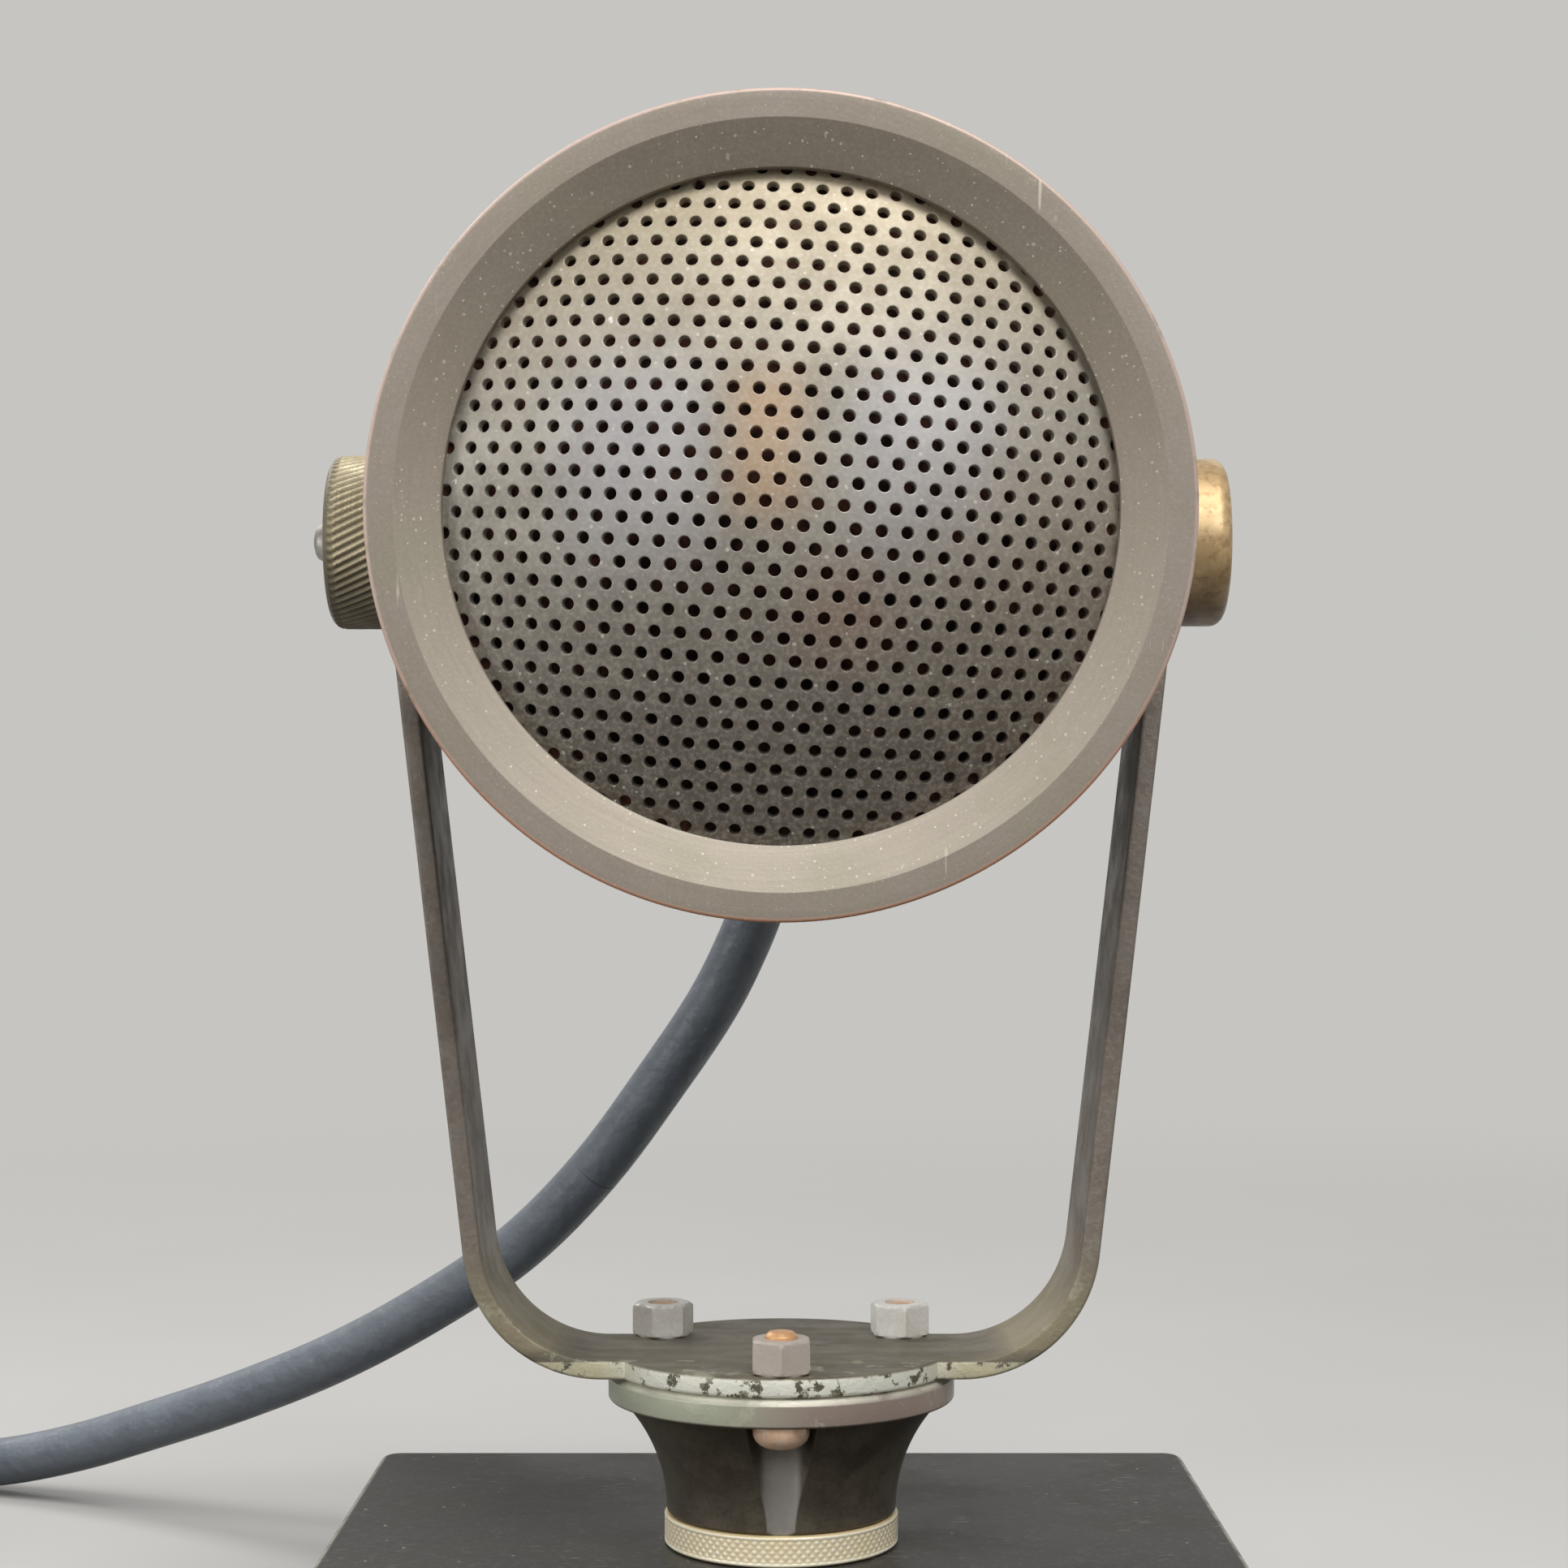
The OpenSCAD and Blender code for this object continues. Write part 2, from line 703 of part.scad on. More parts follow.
module capsule_screws() {
    color("#a9a7a0") at_capsule_screws() {
        bar_y(2.75, plate_front - 2, plate_front);
        bar_y(1.5, plate_front - 1, shelf_back - 0.5);
    }
}

module at_posts() {
    for (x = [-14, 14], z = [-8, 8]) translate([x, 0, z]) children();
}

module terminal_board() {
    color("#6b3f1f") difference() {
        translate([-20, board_front, pivot_z - 13]) cube([40, board_t, 26]);
        at_posts() bar_y(1.6, board_front - 1, board_front + board_t + 1);
    }
}

module terminal_posts() {
    color("#c2a05a") at_posts() difference() {
        union() {
            bar_y(2.5, back_plate_back, board_front);
            bar_y(1.5, back_plate_back - 2.5, back_plate_back + 1);
        }
        bar_y(1.4 + fixed_gap, board_front - 6, board_front + 1);
    }
}

module terminal_screws() {
    color("#c7a457") at_posts() {
        bar_y(2.6, board_front + board_t, board_front + board_t + 1.6);
        bar_y(1.4, board_front - 4, board_front + board_t + 1);
    }
}

module lead_wires() {
    wire_z = pivot_z - 8;
    color("#8d2f24") for (side = [-1, 1])
        tube([
            [side * 14, 25.8, wire_z], [side * 13.6, 28.5, wire_z], [side * 10.5, 31.5, wire_z + 2],
            [side * 5.5, 35, wire_z + 4.5], gland_foot + [side * 1.8, 0, 0] - 3 * gland_dir,
            gland_foot + [side * 1.8, 0, 0] + 3 * gland_dir,
            gland_foot + [side * 1.8, 0, 0] + gland_face * gland_dir
        ], 0.9, 8, [0, 1, 0], gland_dir);
}

module gland_body() {
    color("#b08c4a") on_gland([[4.4, -5], [6, -5], [6, gland_tip], [4.4, gland_tip]]);
}

module gland_nut() {
    low = gland_face + 3 * face_gap;
    edge = 0.6;
    color("#b08c4a") on_gland([
        [6 + run_gap, low], [9.5 - edge, low], [9.5, low + edge], [9.5, nut_tip - edge],
        [9.5 - edge, nut_tip], [5.3, nut_tip], [5.3, gland_tip + 0.2], [6 + run_gap, gland_tip + 0.2]
    ]);
}

module cable_sleeve() {
    shoulder = nut_tip + 3 * face_gap;
    color("#161616") on_gland([
        [0, gland_tip], [5.2, gland_tip], [5.2, shoulder], [7, shoulder], [7, shoulder + 2],
        [cable_r + 0.6, sleeve_tip], [0, sleeve_tip]
    ]);
}

module cable_run() {
    echo(str("free stretch ", path_length(run_points), " mm"));
    color("#141414") tube(run_points, cable_r, 8, gland_dir, [-1, 0, 0]);
}

module cable_coil() {
    path = concat([coil_start + [cable_d, 0, 0]], coil_loops, [coil_end - [0, cable_d, 0]]);
    gaps = [
        for (i = [0:len(coil_loops) - 1], j = [0:len(coil_loops) - 1])
            if (j - i > steps_per_turn / 2) norm(coil_loops[i] - coil_loops[j]) - cable_d
    ];
    echo(str("least gap in the coil ", min(gaps), " mm, length ", path_length(path), " mm"));
    color("#141414") tube(path, cable_r, 6, [-1, 0, 0], [0, -1, 0]);
}

module cable_tail() {
    echo(str("tail ", path_length(tail_points), " mm"));
    color("#141414") tube(tail_points, cable_r, 8, [0, -1, 0], [1, 0, 0]);
}

module plug_sleeve() {
    color("#161616") on_plug([[0, plug_x], [cable_r + 0.5, plug_x], [7, plug_back - 2], [7, plug_back],
                              [0, plug_back]]);
}

module plug_body() {
    r = plug_d / 2;
    color("#9c9a94") on_plug([
        [0, plug_back], [r - 1, plug_back], [r, plug_back + 1], [r, plug_face], [r - 1.3, plug_face],
        [r - 1.3, plug_face - 10], [0, plug_face - 10]
    ]);
}

module plug_insert() {
    r = plug_d / 2 - 1.3 - fixed_gap;
    color("#5a2c18") on_plug([[0, plug_face - 10], [r, plug_face - 10], [r, plug_face - 2], [0, plug_face - 2]]);
}

module plug_pins() {
    color("#d0b060") for (turn = [90, 210, 330])
        translate([plug_face - 2, plug_y + 5.2 * cos(turn), plug_z + 5.2 * sin(turn)])
            rotate([0, 90, 0]) cylinder(d = 2.4, h = 8, $fn = small_fn);
}

module plug_ring() {
    r = plug_ring_d / 2;
    bore = plug_d / 2 + run_gap;
    color("#a8a69f") on_plug([
        [bore, plug_face - 14], [r - 0.4, plug_face - 14], [r, plug_face - 13.6],
        [r, plug_face + 7.6], [r - 0.4, plug_face + 8], [bore, plug_face + 8]
    ]);
}

base_block();
base_felt();
stand_stud();
stud_washer();
stud_nut();
cable_run();
cable_coil();
cable_tail();
plug_sleeve();
plug_body();
plug_insert();
plug_pins();
plug_ring();
lock_ring();
flared_socket();
yoke_strap();
yoke_bolts();
yoke_nuts();
left_friction_washer();
right_friction_washer();
left_knob();
right_knob();
left_pivot_screw();
right_pivot_screw();
front_ring();
grille();
gauze();
grille_gasket();
body_shell();
rear_cover();
cover_gasket();
cover_screws();
pole_plate();
magnet();
back_plate();
pole_piece();
damping_pad();
acoustic_tube();
diaphragm();
voice_coil();
surround();
diaphragm_seat();
diaphragm_clamp();
clamp_screws();
capsule_screws();
terminal_board();
terminal_posts();
terminal_screws();
lead_wires();
gland_body();
gland_nut();
cable_sleeve();
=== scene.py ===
"""Gives a packed moving-coil studio microphone its visible surfaces, finishes, cable, lights and camera."""

import json
import math
from types import SimpleNamespace

import bmesh
import bpy
import numpy as np
from bpy.props import FloatProperty, FloatVectorProperty, IntProperty, PointerProperty
from mathutils import Euler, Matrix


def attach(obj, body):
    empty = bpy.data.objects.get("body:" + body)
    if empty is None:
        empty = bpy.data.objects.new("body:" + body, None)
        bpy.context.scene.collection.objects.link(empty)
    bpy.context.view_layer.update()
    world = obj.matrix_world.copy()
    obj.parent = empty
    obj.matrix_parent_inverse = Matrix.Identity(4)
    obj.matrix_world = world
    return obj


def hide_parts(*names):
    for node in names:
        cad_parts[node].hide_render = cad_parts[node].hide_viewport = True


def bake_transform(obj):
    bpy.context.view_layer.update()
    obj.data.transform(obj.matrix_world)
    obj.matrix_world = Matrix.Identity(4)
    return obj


bl_info = {
    "name": "Studio microphone on a swivel stand",
    "version": (1, 0, 0),
    "blender": (4, 5, 0),
    "location": "View3D > Sidebar > Microphone",
    "description": "Builds the surfaces and finishes of a moving-coil microphone round its packed solids",
    "category": "Object",
}

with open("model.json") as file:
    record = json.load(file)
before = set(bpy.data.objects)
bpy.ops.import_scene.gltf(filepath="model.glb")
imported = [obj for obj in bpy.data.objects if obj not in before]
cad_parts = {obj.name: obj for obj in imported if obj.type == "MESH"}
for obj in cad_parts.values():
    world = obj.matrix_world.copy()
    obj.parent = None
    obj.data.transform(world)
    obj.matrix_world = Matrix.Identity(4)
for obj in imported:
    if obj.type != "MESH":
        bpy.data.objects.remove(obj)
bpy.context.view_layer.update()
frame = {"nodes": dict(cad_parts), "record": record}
NODES = frame["nodes"]
RECORD = frame["record"]

# Every shape is worked out in millimetres and put into its mesh in metres
MM = 0.001

# The case behind the front ring, from the tilt axis: its radius, its back, and the front of its cover
CASE_RADIUS, CASE_BACK, COVER_FRONT = 45, 44, 14

# The gland on it: the radius of its thread, and how far along its axis the cable leaves the sleeve
GLAND_THREAD, SLEEVE_END = 6.05, 36

# Pieces that lie on each other have this play, and a screw in its hole has half of it
PLAY = 0.1

# A bolt's head in its flute of the socket has more
FLUTE_PLAY = 0.15


def linear(hex_colour):
    """sRGB hex colour as linear red, green, blue and alpha."""
    values = np.array([int(hex_colour[i : i + 2], 16) for i in (1, 3, 5)]) / 255
    low = values / 12.92
    high = ((values + 0.055) / 1.055) ** 2.4
    return (*np.where(values <= 0.04045, low, high).tolist(), 1.0)


def power(name, description, default):
    """The power of a lamp, in watts."""
    return FloatProperty(name=name, description=description, default=default, min=0.0, unit="POWER")


def angle_of(name, description, degrees):
    """An angle setting, in radians, from its default in degrees."""
    return FloatProperty(name=name, description=description, default=math.radians(degrees), subtype="ANGLE")


def length(name, description, default):
    """A length setting, in metres, from its default in millimetres."""
    return FloatProperty(
        name=name, description=description, default=default * MM, min=0.0, unit="LENGTH", subtype="DISTANCE"
    )


def colour(name, description, hex_colour):
    """A colour setting from its sRGB hex value."""
    default = linear(hex_colour)
    return FloatVectorProperty(
        name=name, description=description, default=default, size=4, min=0.0, max=1.0, subtype="COLOR"
    )


class StandSettings(bpy.types.PropertyGroup):
    """Sizes and colours of the block, the socket and the yoke."""

    block_width: length("Block width", "Width of the block", 117)
    block_depth: length("Block depth", "Depth of the block from front to back", 106)
    block_height: length("Block height", "Height of the block without its felt", 28.5)
    block_edge: length("Block edge", "Radius of the block's upright edges", 3)
    felt: length("Felt", "Thickness of the felt under the block", 1.5)
    stud_diameter: length("Stud", "Diameter of the threaded stud", 15.8)
    lock_ring_diameter: length("Lock ring", "Diameter of the knurled lock ring", 30)
    lock_ring_height: length("Lock ring height", "Height of the lock ring", 3.9)
    neck_diameter: length("Neck", "Diameter of the socket's neck", 29.4)
    flare_radius: length("Flare", "Radius of the flare under the flange", 20.8)
    flange_diameter: length("Flange", "Diameter of the flange", 44.4)
    flange_thickness: length("Flange thickness", "Thickness of the flange", 3.7)
    flange_top: length("Flange height", "Height of the flange over the block", 22.4)
    pivot_height: length("Tilt axis", "Height of the tilt axis over the block", 128.4)
    strap_width: length("Strap width", "Width of the strap", 20)
    strap_thickness: length("Strap thickness", "Thickness of the strap", 2.4)
    arm_lean: angle_of("Arm lean", "Angle by which each arm leans outwards", 6.6)
    bend_radius: length("Bend", "Outer radius of the strap's bends", 17.5)
    bend_middle: length("Bend distance", "Distance of a bend's centre from the middle", 22.6)
    pad_diameter: length("Pad", "Diameter of the strap's round pad", 44)
    eye_diameter: length("Eye", "Diameter of the round ends of the strap", 22)
    bolt_circle: length("Bolt circle", "Diameter of the circle of bolts", 36)
    bolt_diameter: length("Bolt", "Diameter of a bolt's thread", 4)
    bolt_head: length("Bolt head", "Diameter of a bolt's head", 7.2)
    nut_flats: length("Nut", "Width of a nut across its flats", 7)
    nut_height: length("Nut height", "Height of a nut", 4.3)
    enamel: colour("Enamel", "Colour of the block's enamel", "#292826")
    brass: colour("Brass", "Colour of the polished lock ring", "#fff8e0")
    blackening: colour("Blackening", "Colour of the blackened socket", "#5a5246")
    patina: colour("Patina", "Colour of the strap's brown patina", "#837a70")
    verdigris: colour("Verdigris", "Colour of the pale green flakes", "#b4bba4")


class HeadSettings(bpy.types.PropertyGroup):
    """Sizes and colours of the head and its knobs."""

    ring_diameter: length("Front ring", "Diameter of the knurled front ring", 95)
    ring_depth: length("Ring depth", "Depth of the ring from front to back", 14)
    ring_reach: length("Ring reach", "Distance of the ring's face from the tilt axis", 46)
    land_diameter: length("Ring face", "Inner diameter of the ring's flat face", 88.2)
    opening_diameter: length("Opening", "Diameter of the opening over the grille", 77.5)
    bevel_depth: length("Bevel depth", "Depth of the bevel between them", 1.8)
    hole_diameter: length("Hole", "Diameter of a hole in the grille", 1.45)
    hole_pitch: length("Hole pitch", "Distance between neighbouring holes", 2.94)
    row_turn: angle_of("Row turn", "Angle by which the rows of holes run down to the right", 3.4)
    crown: length("Crown", "Height of the grille's crown", 9.5)
    sheet: length("Sheet", "Thickness of the grille's sheet", 1)
    left_knob_diameter: length("Left knob", "Diameter of the knurled knob", 22.4)
    right_knob_diameter: length("Right knob", "Diameter of the smooth knob", 21.6)
    left_knob_reach: length("Left knob reach", "Distance of the knurled knob's face from the middle", 57.8)
    right_knob_reach: length("Right knob reach", "Distance of the smooth knob's face from the middle", 56.9)
    knob_edge: length("Knob edge", "Rounding of a knob's edge", 1.7)
    pivot_diameter: length("Pivot screw", "Diameter of the pivot screws", 6)
    knurl_teeth: IntProperty(name="Ring teeth", description="Teeth round the front ring", default=300, min=60)
    bronze: colour("Turned bronze", "Colour of the front ring", "#968b80")
    # colour of the painted highlight along the front ring's outer front edge
    edge_highlight: colour("Bare edge", "Colour of the rubbed copper edge", "#dcc0b2")
    grille_colour: colour("Grille", "Colour of the oxidised grille", "#a29c91")
    knob_bronze: colour("Knob bronze", "Colour of the knurled knob", "#d4c5a2")
    knob_brass: colour("Knob brass", "Colour of the rubbed brass knob", "#e0c293")


class CableSettings(bpy.types.PropertyGroup):
    """Sizes and colours of the cable and its connector."""

    diameter: length("Cable", "Diameter of the rubber cable", 8.5)
    coil_pitch: length("Coil pitch", "Distance between turns that lie side by side", 9)
    coil_radius: length("Coil radius", "Radius of the coil where it climbs", 36.25)
    shell_diameter: length("Shell", "Diameter of the connector's shell", 17)
    coupling_diameter: length("Coupling ring", "Diameter of the connector's coupling ring", 19)
    rubber: colour("Rubber", "Colour of the cable's rubber", "#6e757d")
    nickel: colour("Nickel", "Colour of the connector's nickel plate", "#fbf8f2")


class StageSettings(bpy.types.PropertyGroup):
    """The floor, the lights and the camera."""

    camera_distance: length("Camera distance", "Distance of the camera in front of the stand's axis", 377)
    camera_height: length("Camera height", "Height of the camera over the table", 122.3)
    camera_side: length("Camera offset", "Distance of the camera to the right of the stand's axis", 0.35)
    camera_pitch: angle_of("Camera pitch", "Upward pitch of the camera", 0.75)
    focal: FloatProperty(
        name="Lens", description="Focal length on a 36 mm wide sensor", default=67.08, unit="CAMERA"
    )
    key_power: power("Key light", "Power of the large light", 31.0)
    side_power: power("Side lights", "Power of a side light", 1.8)
    back_power: power("Back light", "Power of the light behind", 5.0)
    low_power: power("Low light", "Power of the low light", 1.5)
    floor: colour("Floor", "Colour of the plain floor", "#cfcdc9")
    backdrop: colour("Backdrop", "Colour that the floor fades into", "#c6c5c2")


def in_millimetres(settings):
    """The settings of a group by name: lengths in millimetres, and the others as they are."""
    values = {}
    for key in settings.__annotations__:
        prop = settings.bl_rna.properties[key]
        value = getattr(settings, key)
        values[key] = value / MM if getattr(prop, "unit", "NONE") == "LENGTH" else value
    return SimpleNamespace(**values)


def sizes(context):
    """All sizes, and the heights and distances that follow from them."""
    scene = context.scene
    s = SimpleNamespace()
    for group in (scene.mic_stand, scene.mic_head, scene.mic_cable):
        vars(s).update(vars(in_millimetres(group)))
    # how far the straight part of an eye reaches below the tilt axis, and the thickness of the ring's lip
    eye_straight, lip = 15, 1.5
    s.block_top = s.felt + s.block_height
    s.neck_z = s.block_top + s.lock_ring_height + 2 * PLAY
    s.flange_top_z = s.block_top + s.flange_top
    s.flange_low_z = s.flange_top_z - s.flange_thickness
    s.pad_top_z = s.flange_top_z + s.strap_thickness
    s.pivot_z = s.block_top + s.pivot_height
    s.bend_z = s.flange_top_z + s.bend_radius
    s.eye_foot_z = s.pivot_z - eye_straight
    lean_x = s.bend_middle + s.bend_radius * math.cos(s.arm_lean)
    lean_z = s.bend_z - s.bend_radius * math.sin(s.arm_lean)
    s.eye_out = lean_x + (s.eye_foot_z - lean_z) * math.tan(s.arm_lean)
    s.ring_front = -s.ring_reach
    s.ring_back = s.ring_front + s.ring_depth
    s.lip_front = s.ring_front + s.bevel_depth
    s.lip_back = s.lip_front + lip
    s.rim_front = s.lip_back + PLAY
    s.axes = {
        "upright": axis_frame((0, 0, 0), (0, 0, 1), (1, 0, 0)),
        "head": axis_frame((0, 0, s.pivot_z), (0, 1, 0), (1, 0, 0)),
        "left": axis_frame((0, 0, s.pivot_z), (-1, 0, 0), (0, -1, 0)),
        "right": axis_frame((0, 0, s.pivot_z), (1, 0, 0), (0, -1, 0)),
        "gland": axis_frame((0, CASE_BACK, s.pivot_z - 8), (0, 1, -1), (1, 0, 0)),
        "plug": axis_frame((0, 30.5, s.coupling_diameter / 2), (1, 0, 0), (0, 1, 0)),
    }
    return s


def axis_frame(origin, along, side):
    """Origin and three unit vectors: along an axis, and two square to it."""
    along = np.array(along, float) / np.linalg.norm(along)
    side = np.array(side, float) / np.linalg.norm(side)
    return np.array(origin, float), along, side, np.cross(along, side)


# Shapes


def grid_faces(rows, cols, wrap_rows=False, wrap_cols=True):
    """Four-sided faces between the neighbours of a grid of points, which may close on itself either way."""
    r, c = np.meshgrid(
        np.arange(rows if wrap_rows else rows - 1), np.arange(cols if wrap_cols else cols - 1), indexing="ij"
    )
    r, c = r.ravel(), c.ravel()
    down, right = (r + 1) % rows, (c + 1) % cols
    return np.stack([r * cols + c, r * cols + right, down * cols + right, down * cols + c], axis=1)


def capped_faces(rows, cols):
    """Faces of a tube: rows of points that close on themselves, and a fan from each end to one more point."""
    k, count = np.arange(cols), rows * cols
    edge = np.stack([k, (k + 1) % cols], axis=1)
    first = np.column_stack([edge, np.full((cols, 2), count)])
    last = np.column_stack([edge + count - cols, np.full((cols, 2), count + 1)])
    return np.concatenate([grid_faces(rows, cols), first, last])


def rounded_line(corners, closed=False):
    """Line through corners (radius, distance, rounding, steps).

    A corner with a rounding r becomes an arc of radius r that touches both sides, r / tan(half angle)
    from the corner. The stretch after a corner is divided into its number of steps.
    """
    places = np.array([corner[:2] for corner in corners], float)
    stretches = []
    for i, corner in enumerate(corners):
        here = places[i]
        rounding = corner[2] if len(corner) > 2 else 0
        if rounding and (closed or 0 < i < len(corners) - 1):
            back = places[i - 1] - here
            ahead = places[(i + 1) % len(corners)] - here
            back, ahead = back / np.linalg.norm(back), ahead / np.linalg.norm(ahead)
            half = 0.5 * math.acos(float(np.clip(back @ ahead, -1, 1)))
            middle = back + ahead
            centre = here + middle / np.linalg.norm(middle) * rounding / math.sin(half)
            first = here + back * rounding / math.tan(half) - centre
            last = here + ahead * rounding / math.tan(half) - centre
            turn = math.atan2(first[0] * last[1] - first[1] * last[0], float(first @ last))
            t = np.linspace(0, turn, 6)
            across = np.array([-first[1], first[0]])
            stretches.append(centre + np.outer(np.cos(t), first) + np.outer(np.sin(t), across))
        else:
            stretches.append(here[None])
    line = []
    for i, corner in enumerate(corners):
        line.append(stretches[i])
        steps = corner[3] if len(corner) > 3 else 1
        if steps > 1:
            start, end = stretches[i][-1], stretches[(i + 1) % len(corners)][0]
            t = np.linspace(0, 1, steps + 1)[1:-1, None]
            line.append(start + (end - start) * t)
    return np.concatenate(line)


def revolved(axis, corners, around=160, relief=None, closed=False):
    """Solid of revolution: radius r and distance h of a rounded line, carried round an axis.

    A point is origin + h along + r (cos a side + sin a up). A relief adds its height, a function of the
    angle, the distance and the radius, to the radius.
    """
    origin, along, side, up = axis
    line = rounded_line(corners, closed)
    angle = np.linspace(0, 2 * np.pi, around, endpoint=False)[None]
    r, h = line[:, :1] + 0 * angle, line[:, 1:] + 0 * angle
    if relief is not None:
        r = r + relief(angle, h, r)
    out = np.cos(angle)[..., None] * side + np.sin(angle)[..., None] * up
    points = origin + h[..., None] * along + r[..., None] * out
    return points.reshape(-1, 3), grid_faces(len(line), around, wrap_rows=closed)


def triangle_wave(x):
    """0 at whole numbers and 1 halfway between them."""
    return 1 - np.abs(2 * (x - np.floor(x)) - 1)


def knurl(teeth, depth, low, high, radius, helix=0.0, crossed=False):
    """Relief of a knurled band between two distances on a radius.

    Grooves of a triangle wave run along the band; helix is their turn in radians a millimetre, and a
    crossed knurl takes the lower of two waves that lean opposite ways, which leaves diamonds.
    """
    fade = 0.25

    def relief(angle, h, r):
        wave = triangle_wave(teeth * (angle + helix * h) / (2 * np.pi))
        if crossed:
            wave = np.minimum(wave, triangle_wave(teeth * (angle - helix * h) / (2 * np.pi)))
        inside = np.clip((h - low) / fade, 0, 1) * np.clip((high - h) / fade, 0, 1) * (r > radius - 0.02)
        return -depth * (1 - wave) * inside

    return relief


def hexagon_relief(flats, low, high):
    """Relief that cuts a round nut to six flats, with a 30 degree chamfer at both ends.

    The radius of a flat is half the flats' distance over the cosine of the angle from its middle, and the
    chamfer's grows with the distance from the nearer end.
    """
    half, slope = flats / 2, 1.73

    def relief(angle, h, r):
        six = half / np.cos(np.mod(angle, np.pi / 3) - np.pi / 6)
        chamfer = half * 0.97 + np.minimum(h - low, high - h) * slope
        return np.where(r > half * 0.9, np.minimum(six, chamfer) - r, 0.0)

    return relief


def moved(shape, by):
    """The same shape, moved."""
    return shape[0] + np.array(by, float), shape[1]


def joined(shapes):
    """Several shapes as one list of points and one of faces."""
    start, points, faces = 0, [], []
    for p, f in shapes:
        points.append(p)
        faces.append(f + start)
        start += len(p)
    return np.concatenate(points), np.concatenate(faces)


def block_outline(width, depth, corner, count=9):
    """Points round a rectangle with rounded corners, counted alike for every size."""
    t = np.linspace(0, np.pi / 2, count)
    arc = corner * np.stack([np.cos(t), np.sin(t)], axis=1)
    quarters = []
    for x, y in ((1, 1), (-1, 1), (-1, -1), (1, -1)):
        quarters.append(arc + [x * (width / 2 - corner), y * (depth / 2 - corner)])
        arc = np.stack([-arc[:, 1], arc[:, 0]], axis=1)
    return np.concatenate(quarters)


def block_shape(s):
    """The low block with rounded edges, a stud hole and a counterbore.

    Each row is the block's outline drawn in by a distance, or a circle with a point on the same ray.
    """
    # the rounding of the upper edge, the chamfer of the lower one, and the counterbore's radius and depth
    edge, chamfer = 1.3, 0.6
    wide, deep = 18, 11

    def outline(inset):
        corner = max(s.block_edge - inset, 0.2)
        return block_outline(s.block_width - 2 * inset, s.block_depth - 2 * inset, corner)

    rays = outline(0)
    rays = rays / np.linalg.norm(rays, axis=1, keepdims=True)
    bore = s.stud_diameter / 2 + 0.02
    rows = [(rays * bore, s.block_top), (rays * 30, s.block_top)]
    for t in np.linspace(0, np.pi / 2, 7):
        rows.append((outline(edge * (1 - math.sin(t))), s.block_top - edge * (1 - math.cos(t))))
    rows += [(outline(0), z) for z in np.linspace(s.block_top - edge, s.felt + chamfer, 5)[1:]]
    rows += [(outline(chamfer), s.felt), (rays * wide, s.felt)]
    rows += [(rays * wide, s.felt + deep), (rays * bore, s.felt + deep)]
    points = np.concatenate([np.column_stack([flat, np.full(len(flat), z)]) for flat, z in rows])
    return points, grid_faces(len(rows), len(rays), wrap_rows=True)


def socket_shape(s):
    """The flared socket: neck, quarter-round flare, flange, and three upright flutes.

    In a flute the radius is the near wall of an upright cylinder round the bolt's axis,
    B cos a - sqrt(R^2 - (B sin a)^2), wherever that is less than the flare's own radius.
    """
    flare_end = math.asin((s.flange_low_z - s.neck_z) / s.flare_radius)
    t = np.linspace(0, flare_end, 44)
    neck, out = s.neck_diameter / 2, s.flare_radius
    flare = [(neck + out * (1 - math.cos(a)), s.neck_z + out * math.sin(a)) for a in t]
    bore, bore_top = s.stud_diameter / 2 + PLAY / 2, s.block_top + 18
    corners = [(0, bore_top), (bore, bore_top), (bore, s.neck_z), (neck - 0.35, s.neck_z, 0, 2)]
    corners += [(r, z) for r, z in flare if z > s.neck_z + 0.3]
    flange, chamfer = s.flange_diameter / 2, 0.9
    corners += [
        (flange, s.flange_low_z, 0.35),
        (flange, s.flange_top_z - chamfer, 0.15),
        (flange - chamfer, s.flange_top_z, 0.15),
        (0, s.flange_top_z),
    ]
    flute = s.bolt_head / 2 + FLUTE_PLAY
    circle = s.bolt_circle / 2

    def relief(angle, h, r):
        near = np.mod(angle + np.pi / 2 + np.pi / 3, 2 * np.pi / 3) - np.pi / 3
        across = circle * np.sin(near)
        inside = np.abs(across) < flute
        wall = circle * np.cos(near) - np.sqrt(np.maximum(flute**2 - across**2, 0))
        cut = inside & (r > wall) & (h < s.flange_low_z + 0.01) & (r < flange - 1)
        return np.where(cut, wall - r, 0.0)

    return revolved(s.axes["upright"], corners, around=900, relief=relief)


